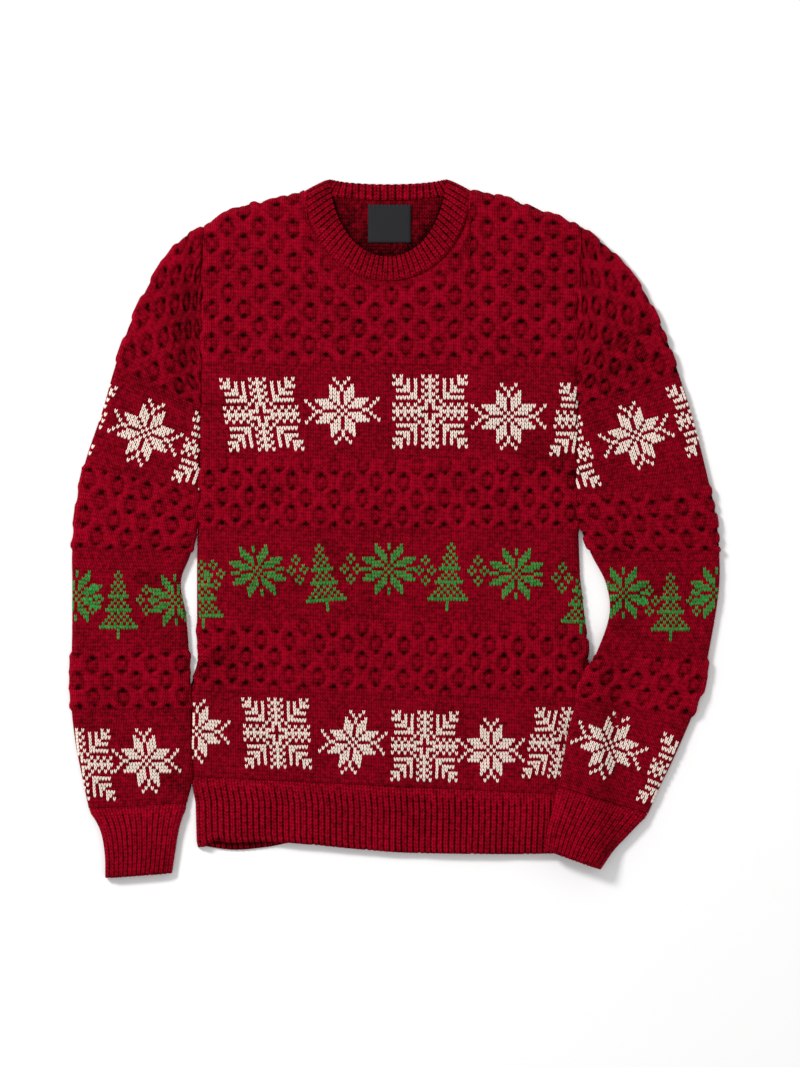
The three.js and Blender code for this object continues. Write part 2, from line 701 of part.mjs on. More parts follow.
function hemRow(share, inset, places, outside) {
  return places.map((place) => {
    const level = THREE.MathUtils.lerp(HEM_LOW_Y, HEM_HIGH_Y, share);
    const left = bodySide(level, -1).x + inset;
    const right = bodySide(level, 1).x - inset;
    let x = THREE.MathUtils.lerp(left, right, place.part ?? 0);
    if (place.offset !== undefined) x = left + place.offset;
    if (place.fromRight !== undefined) x = right - place.fromRight;
    const y = THREE.MathUtils.lerp(columnAt(HEM_BOTTOM, 'x', x, 'front'), hemSeamY(x), share);
    if (!outside) return insidePoint(x, y, [x - left, right - x], INSIDE_HEIGHT);
    const up = rise(Math.min(x - left, right - x), EDGE_ROUND);
    const rib = place.rib ? RIB_HEIGHT : 0;
    return new THREE.Vector3(x, y, up * (LYING_HEIGHT + rib + foldHeight(x, y)));
  });
}

// The back hem lies flat under the front one and shows a little below it
function backHem() {
  const inside = hemInside();
  const right = inside.map((line) => line[line.length - 1]).slice(1);
  const left = inside.map((line) => line[0]).slice(1);
  const inset = SEAM + INSIDE_LEAN;
  const fromX = left[0].x + inset;
  const toX = right[0].x - inset;
  const bottom = HEM_BOTTOM.filter((row) => row.x > fromX && row.x < toX);
  const outline = bottom.map((row) => new THREE.Vector2(row.x, row.back));
  right.forEach((point) => outline.push(new THREE.Vector2(point.x - inset, point.y)));
  [...left].reverse().forEach((point) => outline.push(new THREE.Vector2(point.x + inset, point.y)));
  return extruded(outline, WALL, 0);
}

// The back lies flat on the floor, its outline the inside of the front's folded sides, a seam's width in
function backPanel() {
  const inside = frontInnerGrid(frontInnerLevels());
  const top = inside[inside.length - 1];
  const right = inside.map((line) => line[line.length - 1]);
  const left = inside.map((line) => line[0]);
  const moved = (point, x, y) => {
    const wrap = bodySide(point.y, -x).wrap;
    return new THREE.Vector2(point.x + x * (SEAM + INSIDE_LEAN * wrap), point.y + y * (SEAM + INSIDE_LEAN));
  };
  const neckSide = NECK_SEAM.half + WALL / 2 + RIB_HEIGHT;
  const neckTop = (side) => {
    const x = NECK_X + side * neckSide;
    const next = top.findIndex((point) => point.x > x);
    const share = (x - top[next - 1].x) / (top[next].x - top[next - 1].x);
    const y = THREE.MathUtils.lerp(top[next - 1].y, top[next].y, share);
    return new THREE.Vector2(x, y - SEAM - INSIDE_LEAN);
  };
  const outline = right.slice(0, -2).map((point) => moved(point, -1, 0));
  outline.push(moved(right[right.length - 1], -1, -1));
  top.slice(1, -1).reverse().filter((point) => point.x > NECK_X + neckSide)
    .forEach((point) => outline.push(moved(point, 0, -1)));
  outline.push(neckTop(1));
  for (let step = NECK_FOLD_STEPS; step <= NECK_STEPS - NECK_FOLD_STEPS; step += 1) {
    const { seam } = neckSpot(Math.PI + (Math.PI * step) / NECK_STEPS);
    outline.push(new THREE.Vector2(seam.x, seam.y - SEAM));
  }
  outline.push(neckTop(-1));
  top.slice(1, -1).reverse().filter((point) => point.x < NECK_X - neckSide)
    .forEach((point) => outline.push(moved(point, 0, -1)));
  outline.push(moved(left[left.length - 1], 1, -1));
  left.slice(0, -2).reverse().forEach((point) => outline.push(moved(point, 1, 0)));
  return extruded(outline, WALL, 0);
}

// The neckband's two edges at an angle: 0 at the left fold, over the front to the right fold, and round the back
function neckSpot(angle) {
  const across = -Math.cos(angle);
  const depth = Math.sin(angle);
  const level = depth / Math.sqrt(depth * depth + NECK_FOLD);
  const spot = (ring) => {
    const down = depth > 0 ? ring.drop * depth : -ring.dip * depth;
    const high = THREE.MathUtils.lerp(NECK_LOW, ring.high, (1 + level) / 2);
    return new THREE.Vector3(NECK_X + ring.half * across, ring.y - down, high);
  };
  const outward = new THREE.Vector3(across * Math.sqrt(1 - level * level), 0, level);
  return { seam: spot(NECK_SEAM), edge: spot(NECK_EDGE), outward };
}

function neckAngles() {
  const angles = [];
  const front = 2 * NECK_FRONT_RIBS;
  const back = 2 * NECK_BACK_RIBS;
  for (let step = 0; step < front; step += 1) angles.push((Math.PI * step) / front);
  for (let step = 0; step < back; step += 1) angles.push(Math.PI + (Math.PI * step) / back);
  return angles;
}

function neckband() {
  const sections = neckAngles().map((angle, number) => {
    const { seam, edge, outward } = neckSpot(angle);
    const half = WALL / 2;
    const outerRib = number % 2 === 0 ? RIB_HEIGHT : 0;
    const innerRib = number % 2 === 0 ? 0 : RIB_HEIGHT / 2;
    const at = (share, away) => seam.clone().lerp(edge, share).addScaledVector(outward, away);
    return [
      at(0, half),
      at(0.5, half + outerRib / 2 + NECK_BULGE),
      at(1, half * NECK_THINNED + outerRib / 3),
      at(1, -half * NECK_THINNED),
      at(0, -half - innerRib),
    ];
  });
  const triangles = [];
  addGrid(triangles, [...sections, sections[0]], true, false);
  return solidGeometry(triangles);
}

// The outline that the neckband takes out of the front, a seam's width outside its own points
function neckCut() {
  const outline = [];
  const steeper = (NECK_SEAM.half / NECK_SEAM.drop) ** 2;
  for (let step = 0; step <= NECK_STEPS; step += 1) {
    const { seam, outward } = neckSpot((Math.PI * step) / NECK_STEPS);
    const away = new THREE.Vector2(seam.x - NECK_X, (seam.y - NECK_SEAM.y) * steeper).normalize();
    const side = Math.abs(outward.x) * (WALL / 2 + RIB_HEIGHT);
    outline.push(new THREE.Vector2(seam.x + away.x * (SEAM + side), seam.y + away.y * SEAM));
  }
  const first = outline[0];
  const last = outline[outline.length - 1];
  outline.push(new THREE.Vector2(last.x, NECK_EDGE.y + WALL));
  outline.push(new THREE.Vector2(first.x, NECK_EDGE.y + WALL));
  return outline;
}

function neckLabel() {
  const left = LABEL_X - LABEL_WIDTH / 2;
  const right = LABEL_X + LABEL_WIDTH / 2;
  const bottom = LABEL_TOP_Y - LABEL_LENGTH;
  const outline = [
    new THREE.Vector2(left, bottom),
    new THREE.Vector2(right, bottom),
    new THREE.Vector2(right, LABEL_TOP_Y),
    new THREE.Vector2(left, LABEL_TOP_Y),
  ];
  return extruded(outline, LABEL_THICK, WALL + SEAM);
}

const sweater = new THREE.Group();
sweater.name = 'sweater';
sweater.add(named('back_panel', backPanel(), CRIMSON, WOOL_ROUGHNESS));
sweater.add(named('back_hem', backHem(), CRIMSON, WOOL_ROUGHNESS));
sweater.add(named('front_panel', frontPanel(), CRIMSON, WOOL_ROUGHNESS));
sweater.add(named('front_hem', frontHem(), CRIMSON, WOOL_ROUGHNESS));
sweater.add(named('sleeve_left', tubeGeometry(LEFT_SLEEVE, SLEEVE_COLUMNS, false), CRIMSON, WOOL_ROUGHNESS));
sweater.add(named('cuff_left', tubeGeometry(LEFT_CUFF, 2 * CUFF_RIBS, true), CRIMSON, WOOL_ROUGHNESS));
sweater.add(named('sleeve_right', tubeGeometry(RIGHT_SLEEVE, SLEEVE_COLUMNS, false), CRIMSON, WOOL_ROUGHNESS));
sweater.add(named('cuff_right', tubeGeometry(RIGHT_CUFF, 2 * CUFF_RIBS, true), CRIMSON, WOOL_ROUGHNESS));
sweater.add(named('neckband', neckband(), CRIMSON, WOOL_ROUGHNESS));
sweater.add(named('neck_label', neckLabel(), CHARCOAL, SATIN_ROUGHNESS));

// The origin is the middle of the sweater's outline, on the floor
const box = new THREE.Box3().setFromObject(sweater);
sweater.position.set(-(box.min.x + box.max.x) / 2, -(box.min.y + box.max.y) / 2, 0);
sweater.updateMatrixWorld(true);

export default sweater;
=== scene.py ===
# %% [markdown]
# # A knitted christmas sweater, laid flat
# This lesson dresses a plain working model of a crew-neck sweater. The model already has the right size and
# the right pieces, so every surface made here sits where a piece of that model is.
# A knit can be made from an image of stitches on a flat sheet. Here its cables, ribs and coloured stitches are
# real shapes, because a cabled wool sweater is read by its relief as much as by its colour.

# %% Load the working model
import math

import bpy
import numpy as np
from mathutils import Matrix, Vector


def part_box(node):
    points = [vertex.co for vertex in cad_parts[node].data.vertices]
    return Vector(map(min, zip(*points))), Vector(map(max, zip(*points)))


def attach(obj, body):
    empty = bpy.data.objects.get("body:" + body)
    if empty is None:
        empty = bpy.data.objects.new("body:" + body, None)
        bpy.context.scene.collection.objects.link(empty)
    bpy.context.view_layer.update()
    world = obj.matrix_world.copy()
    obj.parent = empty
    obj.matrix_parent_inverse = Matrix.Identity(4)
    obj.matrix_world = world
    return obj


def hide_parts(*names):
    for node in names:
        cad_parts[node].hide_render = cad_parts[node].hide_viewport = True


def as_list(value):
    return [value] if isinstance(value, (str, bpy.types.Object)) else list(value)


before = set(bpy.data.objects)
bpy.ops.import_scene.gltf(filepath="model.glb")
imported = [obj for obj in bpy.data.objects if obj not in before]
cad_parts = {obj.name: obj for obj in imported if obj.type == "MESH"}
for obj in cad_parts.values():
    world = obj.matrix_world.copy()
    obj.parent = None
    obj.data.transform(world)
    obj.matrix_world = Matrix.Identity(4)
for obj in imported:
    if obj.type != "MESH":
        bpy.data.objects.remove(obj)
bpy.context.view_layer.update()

# %% [markdown]
# ## Sizes
# The tables below are the sweater's outline in millimetres, measured from a point near the middle of its front:
# x to the right, y up to the collar, z off the floor. The model puts its origin at the middle of the outline,
# so the shift between the two is read from the model and not typed in.

# %% Sizes of the knitted wall
MM = 0.001
WALL = 3.5
HOLLOW = 3.5
LYING_HEIGHT = WALL + HOLLOW + WALL
INSIDE_HEIGHT = WALL + HOLLOW
EDGE_ROUND = 9.0
INSIDE_ROUND = 5.5
SIDE_BELLY = 4.0
EDGE_RELIEF = 0.85

BODY_SIDES = {
    "y": [-330, -311, -275, -255, -214, -165, -135, -95, -44, 8, 53, 88, 215, 238, 290, 302],
    "left": [-192, -196, -197, -201, -203, -203, -194, -197, -197, -196, -195, -195, -194.5, -193.5, -190, -189],
    "right": [192, 193, 195, 196, 196.5, 195.5, 194, 192, 186, 184, 182, 185, 185, 185, 187, 187.5],
    "wrap": [1, 1, 1, 1, 1, 1, 1, 1, 1, 1, 1, 1, 1, 0, 0, 0],
}
SHOULDER_LINE = {
    "x": [-210, -189, -173, -150, -120, -94, -60, 60, 94, 124, 142, 169, 187, 210],
    "y": [298, 300.5, 312, 322, 328, 335, 338, 338, 334, 326, 318, 309.5, 300.5, 298],
}
ZONE_LINES = {
    "left": [-248, -163, -90, -2, 71, 163],
    "right": [-267, -172, -95, -4, 68, 160],
}
HEM_BOTTOM = {
    "x": [-210, -189, -183, -163, -128, -94, -41, 8, 59, 151, 210],
    "front": [-317, -317, -312.5, -313, -312, -314, -319, -323, -324, -324, -321],
    "back": [-316, -318, -319, -321.5, -319, -313, -316, -320, -321, -321, -318],
}
print("the wall is", WALL, "mm thick and the sweater lies", LYING_HEIGHT, "mm high before its cables")

# %% Read the shift of the origin from the model
LEFT_REACH = -323.0
LOWEST_CUFF = -349.0
shift_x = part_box("sleeve_left")[0][0] / MM - LEFT_REACH
shift_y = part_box("cuff_left")[0][1] / MM - LOWEST_CUFF
print("origin shift, mm:", round(shift_x, 2), round(shift_y, 2))

# %% [markdown]
# ## Small tools for curves
# A table has only the few places where the cloth's edge changes direction. A smooth curve through them is
# drawn with cubic Hermite pieces, which pass through every row and never kink. Real cloth has no corners.

# %% Curves through a table
def smooth(share):
    share = np.clip(share, 0, 1)
    return share * share * (3 - 2 * share)


def lerp(first, second, share):
    return first + (second - first) * share


def curve(at, places, values):
    places = np.asarray(places, float)
    values = np.asarray(values, float)
    at = np.clip(at, places[0], places[-1])
    slopes = np.gradient(values, places)
    row = np.clip(np.searchsorted(places, at, side="right") - 1, 0, len(places) - 2)
    long = places[row + 1] - places[row]
    share = (at - places[row]) / long
    square = share * share
    cube = square * share
    start = (2 * cube - 3 * square + 1) * values[row] + (cube - 2 * square + share) * long * slopes[row]
    end = (3 * square - 2 * cube) * values[row + 1] + (cube - square) * long * slopes[row + 1]
    return start + end


def rise(distance, around):
    share = np.clip(distance / around, 0, 1)
    return np.sqrt(np.maximum(0, 1 - (1 - share) ** 2))


print("half way up a rounded edge the cloth has risen", round(float(rise(4.5, 9.0)), 2), "of its height")

# %% [markdown]
# ## Folds
# A sweater that is laid out by hand keeps some creases: under the arms, in the bend of an elbow, and where a
# rib pulls in. Each is a soft trough or ridge along a short line, listed with its own width and height.
# Low, wide waves keep the big panels from lying like a board.

# %% Creases and waves
FOLDS = (
    # from x, from y, to x, to y, width, height
    (184, 156, 256, 198, 7, -3.0),
    (190, 142, 243, 168, 6, -2.2),
    (216, 188, 222, 120, 10, -1.6),
    (192, 162, 268, 190, 8, 2.2),
    (219, -76, 262, -62, 8, -2.6),
    (222, -96, 250, -112, 9, -1.8),
    (238, 96, 296, 118, 7, -1.0),
    (-206, 232, -211, 140, 14, -3.2),
    (-214, -58, -252, -50, 8, -2.2),
    (-206, -262, -236, -236, 9, -2.0),
    (-262, 190, -236, 128, 10, -1.1),
    (-197, -140, -166, -128, 10, -2.6),
    (178, 58, 140, 74, 12, -2.0),
    (-190, 118, -150, 126, 10, -1.2),
    (-120, -310, -108, -262, 14, -1.6),
    (20, -318, 26, -272, 16, -1.4),
    (118, -320, 122, -276, 12, -1.2),
)
FOLD_SHADE = 0.07
WAVES = (
    # wave length across, wave length along, turn, height
    (310, 420, 0.4, 0.35),
    (170, 260, 2.1, 0.25),
    (90, 120, 4.4, 0.18),
)


def fold_height(x, y):
    height = np.zeros_like(x)
    for from_x, from_y, to_x, to_y, width, tall in FOLDS:
        along_x = to_x - from_x
        along_y = to_y - from_y
        share = ((x - from_x) * along_x + (y - from_y) * along_y) / (along_x ** 2 + along_y ** 2)
        share = np.clip(share, 0, 1)
        away = np.hypot(x - from_x - share * along_x, y - from_y - share * along_y)
        height += tall * np.exp(-((away / width) ** 2))
    return height


def fold_shadow(x, y):
    """How much darker the wool looks down in a trough, where little light comes."""
    return FOLD_SHADE * np.minimum(0, fold_height(x, y))


def wave_height(x, y):
    height = np.zeros_like(x)
    for across, along, turn, tall in WAVES:
        height += tall * np.sin(2 * math.pi * x / across + turn) * np.cos(2 * math.pi * y / along + 2 * turn)
    return height


print(len(FOLDS), "creases placed by hand")

# %% [markdown]
# ## Honeycomb cable
# Honeycomb is made of strands two stitches wide that sway apart and back together, so that each pair rounds an
# oval cell. Where two strands part, a small dark pit opens. It could be a bump texture, but the photo shows its
# pits and its scalloped edge, so it is a height that moves the cloth's own points.
# The height is worked out from the place on the cloth, so the mesh may run as it likes.

# %% Height of the honeycomb
STRAND_PITCH = 15.0
UNEVEN = (0.6, 0.8, 0.7, 1.2)
REPEAT_LONG = 33.0
STRAND_SWAY = 3.75
STRAND_HALF = 5.2
CABLE_HEIGHT = 2.8
CELL_PLUMP = 1.9
CELL_WIDE = 4.0
CELL_LONG = 5.5
PIT_DEPTH = 3.4
PIT_PLACE = 7.0
PIT_WIDE = 2.0
PIT_LONG = 1.8
PIT_ENDS = ((1, 0.8), (-1, 0.65))
PIT_UNEVEN = 0.28
# The shades below are painted shade and painted highlight: pits and grooves dark, ridges lighter the higher they stand.
RIDGE_SHADE = 0.56
RIDGE_RISE = 0.07
GROOVE_HEIGHT = 0.9
PIT_FALL = 2.3
PIT_SHADE = 0.62


def sway_of(along):
    turn = np.cos(2 * math.pi * along / REPEAT_LONG)
    return np.tanh(2.0 * turn) / math.tanh(2.0)


def honeycomb(across, along, pitch=STRAND_PITCH, pulled=1.0):
    """Height in mm of the cable pattern, for places across and along the cloth in mm.

    pitch is the distance between strands where the knitting is stretched or drawn in. pulled opens the pits.
    """
    across = across * STRAND_PITCH / pitch
    across = across + UNEVEN[0] * np.sin(along / 23.0 + 1.3) + UNEVEN[1] * np.sin(across / 31.0)
    along = along + UNEVEN[2] * np.sin(across / 17.0) + UNEVEN[3] * np.sin(across / 61.0 + 2.0)
    sway = sway_of(along) * STRAND_SWAY
    middle = np.round(across / STRAND_PITCH)
    height = np.zeros_like(across)
    for step in (-1, 0, 1):
        strand = middle + step
        sign = np.where(strand % 2 == 0, 1.0, -1.0)
        away = np.abs(across - strand * STRAND_PITCH - sign * sway)
        ridge = CABLE_HEIGHT * np.maximum(0, 1 - (away / STRAND_HALF) ** 2) ** 0.55
        height = np.maximum(height, ridge)
    cell = np.floor(across / STRAND_PITCH)
    cell_middle = (cell + 0.5) * STRAND_PITCH
    start = np.where(cell % 2 == 0, REPEAT_LONG / 2, 0.0)
    repeat = np.round((along - start) / REPEAT_LONG)
    from_cell = along - start - repeat * REPEAT_LONG
    plump = CELL_PLUMP * np.exp(-((across - cell_middle) / CELL_WIDE) ** 2 - (from_cell / CELL_LONG) ** 2)
    pits = np.zeros_like(across)
    for end, deep in PIT_ENDS:
        from_pit = ((across - cell_middle) / PIT_WIDE) ** 2 + ((from_cell - end * PIT_PLACE) / PIT_LONG) ** 2
        uneven = PIT_UNEVEN * np.sin(2.4 * cell + 1.7 * repeat + end)
        pits += pulled * (deep + uneven) * np.exp(-from_pit)
    return height + plump - PIT_DEPTH * pits


def cable_shade(height):
    """Painted shade and highlight, from 0, darkest in the pits, to 1, lightest on the ridges."""
    below = np.clip((GROOVE_HEIGHT - height) / PIT_FALL, 0, 1)
    return RIDGE_SHADE + RIDGE_RISE * height - PIT_SHADE * below


sample = honeycomb(np.linspace(0, 60, 400), np.linspace(0, 66, 400))
print("honeycomb heights, mm:", round(float(sample.min()), 2), "to", round(float(sample.max()), 2))

# %% [markdown]
# ## Rib knitting
# The hem, the cuffs and the neckband are one-by-one rib: a column of knit stitches stands up and the next one
# sinks. Across the rib that is a rounded wave with a narrow valley. Below a seam the valleys don't start on a
# ruled line. Each opens in its own place out of the plain knitting, which hides the seam.

# %% Height of the ribs
HEM_RIBS = 66
CUFF_RIBS = 15
RIB_HEIGHT = 1.7
RIB_ROUND = 0.7
RIB_START = 5.0
RIB_UNEVEN = 3.0
RIB_GROW = 7.0
# RIB_SHADE is painted shade and highlight: the dark of a rib's valley and how much lighter its crest is.
RIB_SHADE = (0.04, 0.70)
PLAIN_SHADE = 0.58


def rib(turns):
    """From 0 in the valleys to 1 on the crests. turns counts ribs across the cloth."""
    return np.abs(np.cos(math.pi * turns)) ** RIB_ROUND


def rib_from_seam(turns, from_seam, depth):
    """Ribs whose valleys open a little below a seam. depth is 1 for the full valley."""
    start = RIB_START + RIB_UNEVEN * np.sin(2.3 * np.floor(turns))
    grown = depth * smooth((from_seam - start) / RIB_GROW)
    return 1 - grown * (1 - rib(turns))


def rib_height(level, from_seam):
    return RIB_HEIGHT * level * smooth(from_seam / RIB_GROW)


# Painted shade: dark in a rib's valley, light on its crest.
def rib_shade(level):
    return RIB_SHADE[0] + RIB_SHADE[1] * level


def rib_shade_from_seam(level, from_seam):
    """The shade of plain knitting by the seam, and further down that of ribs."""
    return lerp(PLAIN_SHADE, rib_shade(level), smooth(from_seam / (RIB_START + RIB_GROW)))


print("a rib stands", RIB_HEIGHT, "mm proud")

# %% [markdown]
# ## From a grid of points to a mesh
# Every knitted piece starts as a grid of points, a row for each course of stitches. The outside is a fine grid
# that carries the relief and the inside a coarse plain one. A rim of triangles zips the two together, so that
# each piece is a closed wall of cloth and not a paper-thin sheet.
# Two values ride on each point for the materials: where it is counted in stitches, and its painted shade,
# dark in the pits and light on the ridges of the relief, kept under the name relief.

# %% Meshes from grids
STITCH_WIDE = 3.4
STITCH_TALL = 3.5


def grid_faces(rows, columns, first, closed, flipped):
    row = np.arange(rows - 1)[:, None]
    column = np.arange(columns if closed else columns - 1)[None, :]
    after = (column + 1) % columns
    corners = [row * columns + column, row * columns + after, (row + 1) * columns + after, (row + 1) * columns + column]
    faces = np.stack([first + np.broadcast_to(c, (rows - 1, column.shape[1])) for c in corners], -1).reshape(-1, 4)
    return faces[:, ::-1] if flipped else faces


def zip_rim(outer, inner, flipped):
    """Triangles between two loops. Each loop is a list of (share round the loop, point number)."""
    faces = []
    o = 0
    i = 0
    while o < len(outer) or i < len(inner):
        next_outer = outer[o + 1][0] if o + 1 < len(outer) else 1 + (o >= len(outer))
        next_inner = inner[i + 1][0] if i + 1 < len(inner) else 1 + (i >= len(inner))
        here = outer[o % len(outer)][1]
        there = inner[i % len(inner)][1]
        if next_outer <= next_inner:
            faces.append((outer[(o + 1) % len(outer)][1], here, there))
            o += 1
        else:
            faces.append((there, inner[(i + 1) % len(inner)][1], here))
            i += 1
    return [face[::-1] for face in faces] if flipped else faces


def sheet_loop(grid, first):
    """The four sides of a sheet's grid as one loop, a quarter of the share for each side."""
    rows, columns = grid.shape[:2]
    number = first + np.arange(rows * columns).reshape(rows, columns)
    sides = (
        (number[0, :], grid[0, :, 0]),
        (number[:, -1], grid[:, -1, 1]),
        (number[-1, ::-1], grid[-1, ::-1, 0]),
        (number[::-1, 0], grid[::-1, 0, 1]),
    )
    loop = []
    for side, (points, places) in enumerate(sides):
        shares = (places - places[0]) / (places[-1] - places[0])
        shares = np.maximum.accumulate(shares)
        loop += [((side + share) / 4, point) for share, point in zip(shares[:-1], points[:-1])]
    return loop


def new_mesh(name, points, faces, stitches, relief, flat=0):
    """Makes an object from points in the table's millimetres, moved to the model's origin, in metres.

    The last faces, as many as flat says, keep flat shading, so that a cut edge doesn't darken the cloth by it.
    """
    mesh = bpy.data.meshes.new(name)
    moved = (points + np.array([shift_x, shift_y, 0.0])) * MM
    mesh.from_pydata(moved.tolist(), [], [tuple(int(number) for number in face) for face in faces])
    counted = mesh.attributes.new("stitch", "FLOAT_VECTOR", "POINT")
    counted.data.foreach_set("vector", np.ascontiguousarray(stitches, dtype=np.float32).ravel())
    # The relief attribute holds painted shade: 0 dark in the pits, 1 light on the ridges.
    height = mesh.attributes.new("relief", "FLOAT", "POINT")
    height.data.foreach_set("value", np.ascontiguousarray(relief, dtype=np.float32).ravel())
    mesh.polygons.foreach_set("use_smooth", np.arange(len(faces)) < len(faces) - flat)
    mesh.update()
    piece = bpy.data.objects.new(name, mesh)
    bpy.context.scene.collection.objects.link(piece)
    return piece


def closed_wall(name, outer, inner, stitches, relief, tube=None):
    """Joins an outer grid and an inner grid to one closed mesh. tube holds the shares round each ring."""
    points = np.concatenate([outer.reshape(-1, 3), inner.reshape(-1, 3)])
    rows, columns = outer.shape[:2]
    inner_rows, inner_columns = inner.shape[:2]
    first = rows * columns
    faces = [tuple(face) for face in grid_faces(rows, columns, 0, tube is not None, False)]
    faces += [tuple(face) for face in grid_faces(inner_rows, inner_columns, first, tube is not None, True)]
    if tube is None:
        rim = zip_rim(sheet_loop(outer, 0), sheet_loop(inner, first), False)
    else:
        rim = []
        for row, inner_row, flipped in ((0, 0, False), (rows - 1, inner_rows - 1, True)):
            around = [(share, row * columns + n) for n, share in enumerate(tube[0])]
            inside = [(share, first + inner_row * inner_columns + n) for n, share in enumerate(tube[1])]
            rim += zip_rim(around, inside, flipped)
    counted = np.zeros((len(points), 3))
    counted[:first] = stitches.reshape(-1, 3)
    counted[first:, :2] = points[first:, :2] / STITCH_TALL
    # heights holds the painted shade for the relief attribute, plain on the inside wall.
    heights = np.full(len(points), PLAIN_SHADE)
    heights[:first] = relief.reshape(-1)
    piece = new_mesh(name, points, faces + rim, counted, heights, len(rim))
    outward(piece)
    print(name, "has", sum(len(face.vertices) - 2 for face in piece.data.polygons), "triangles")
    return piece


def outward(piece):
    """Turns a closed mesh so that its faces point out."""
    mesh = piece.data
    mesh.calc_loop_triangles()
    places = np.empty(len(mesh.vertices) * 3)
    mesh.vertices.foreach_get("co", places)
    places = places.reshape(-1, 3)
    corners = np.empty(len(mesh.loop_triangles) * 3, dtype=np.int32)
    mesh.loop_triangles.foreach_get("vertices", corners)
    a, b, c = places[corners.reshape(-1, 3)].transpose(1, 0, 2)
    if np.einsum("ij,ij->i", a, np.cross(b, c)).sum() < 0:
        mesh.flip_normals()


print("every knitted piece will be a closed wall")

# %% [markdown]
# ## The neckband's path
# The collar is a ring of rib sewn into the neck hole. Seen from above its front dips in a wide curve and its back
# runs nearly straight, so one angle round the ring gives both: 0 at the left fold, over the front to the right
# fold, then round the back. The front of the body stops just outside this ring.

# %% Neckband curves
NECK_X = -6.0
NECK_SEAM = {"y": 336.0, "half": 81.5, "drop": 89.0, "dip": 8.3, "high": 8.8, "rounded": 0.0}
NECK_EDGE = {"y": 350.0, "half": 58.0, "drop": 79.5, "dip": 6.7, "high": 7.6, "rounded": 1.8}
NECK_LOW = 3.4
NECK_FOLD = 0.006
FOLD_REACH = 0.22


def neck_ring(angle):
    """The seam, the free edge and the outward direction of the neckband at each angle."""
    across = -np.cos(angle)
    depth = np.sin(angle)
    level = depth / np.sqrt(depth * depth + NECK_FOLD)
    rings = []
    for ring in (NECK_SEAM, NECK_EDGE):
        y = ring["y"] - np.where(depth > 0, ring["drop"] * depth, -ring["dip"] * depth)
        y -= ring["rounded"] * np.exp(-((depth / FOLD_REACH) ** 2))
        high = lerp(NECK_LOW, ring["high"], (1 + level) / 2)
        rings.append(np.stack([NECK_X + ring["half"] * across, y, high], -1))
    out = np.stack([across * np.sqrt(1 - level * level), np.zeros_like(level), level], -1)
    return rings[0], rings[1], out


NECK_SIDE_GAP = 0.8
NECK_GAP = 0.4
FAR = 1000.0


def neck_hole(x, ring=NECK_SEAM):
    """The y of a ring's front at x, with the gap of a seam, and far off where the ring doesn't reach."""
    share = np.clip(np.abs(x - NECK_X) / (ring["half"] + NECK_SIDE_GAP), 0, 1)
    dip = ring["y"] - (ring["drop"] + NECK_GAP) * np.sqrt(1 - share ** 2)
    return np.where(share < 1, dip, FAR)


print("the neck hole is", 2 * NECK_SEAM["half"], "mm across its seam")

# %% [markdown]
# ## The front
# The front is the piece that the eye goes to: bands of honeycomb with bands of plain stocking stitch between
# them for the coloured patterns. Its sides fold under, so the height falls away in a quarter round there.
# The rows follow the knitting, a little lower on the right, where the sweater has been pulled. At the top they
# bend up to the sloping shoulders and stop at the neck hole.

# %% Heights of the front
ZONE_FADE = 3.0
SEAM_DIP = 1.1
SEAM_REACH = 6.0
SLEEVE_START = 2.0
CABLE_BANDS = (
    # from line, to line, distance between strands, x of a strand, start above the line
    (1, 2, 14.2, 3.2, 2.0),
    (3, 4, 13.9, 3.2, 0.0),
    (5, None, 16.2, 5.3, 5.0),
)
PULLED_MIDDLE = 0.8
PULLED_SIDE = 1.2
SIDE_FROM = 60.0
SIDE_FULL = 150.0
NECK_CALM = 15.0


def body_side(name, y):
    return np.interp(y, BODY_SIDES["y"], BODY_SIDES[name])


def zone_line(number, share):
    return lerp(ZONE_LINES["left"][number], ZONE_LINES["right"][number], share)


def body_relief(x, y):
    """Height of the front's knitting and its painted shade, from 0 in the pits to 1 on the ridges."""
    left = body_side("left", y)
    share = np.clip((x - left) / (body_side("right", y) - left), 0, 1)
    pulled = lerp(PULLED_MIDDLE, PULLED_SIDE, smooth((np.abs(x) - SIDE_FROM) / (SIDE_FULL - SIDE_FROM)))
    calm = smooth((neck_hole(x) - y) / NECK_CALM)
    height = np.zeros_like(x)
    shade = np.full_like(x, PLAIN_SHADE)
    for start, end, pitch, strand_x, offset in CABLE_BANDS:
        low = zone_line(start, share)
        high = zone_line(end, share) if end else np.full_like(low, FAR)
        inside = calm * smooth((y - low) / ZONE_FADE) * smooth((high - y) / ZONE_FADE)
        cable = honeycomb(x - strand_x, y - low - offset, pitch, pulled)
        height += inside * cable
        shade = lerp(shade, cable_shade(cable), inside)
    return height, shade + fold_shadow(x, y)


def front_height(x, y):
    """Height of the smooth outside of the front above the floor, pulled down a little at its sewn edges."""
    left = body_side("left", y)
    right = body_side("right", y)
    wrap = body_side("wrap", y)
    left_rise = np.maximum(rise(x - left, EDGE_ROUND), 1 - wrap)
    right_rise = np.maximum(rise(right - x, EDGE_ROUND), 1 - wrap)
    top = curve(x, SHOULDER_LINE["x"], SHOULDER_LINE["y"])
    top_rise = rise(top - y, EDGE_ROUND)
    up = np.minimum(np.minimum(left_rise, right_rise), top_rise)
    from_side = np.minimum(x - left, right - x)
    dip = SEAM_DIP * np.exp(-((neck_hole(x) - y) / SEAM_REACH) ** 2)
    dip += SEAM_DIP * (1 - wrap) * np.exp(-((from_side / SEAM_REACH) ** 2))
    return up * (LYING_HEIGHT + fold_height(x, y) + wave_height(x, y) - dip), up


print("a stitch is", STITCH_WIDE, "by", STITCH_TALL, "mm")

# %% Grid of the front
SIDE_STEPS = 6
FRONT_COLUMNS = 216
FRONT_ROWS = 232
YOKE_ROWS = 88
INSIDE_COLUMNS = 8
INSIDE_LEVELS = 8


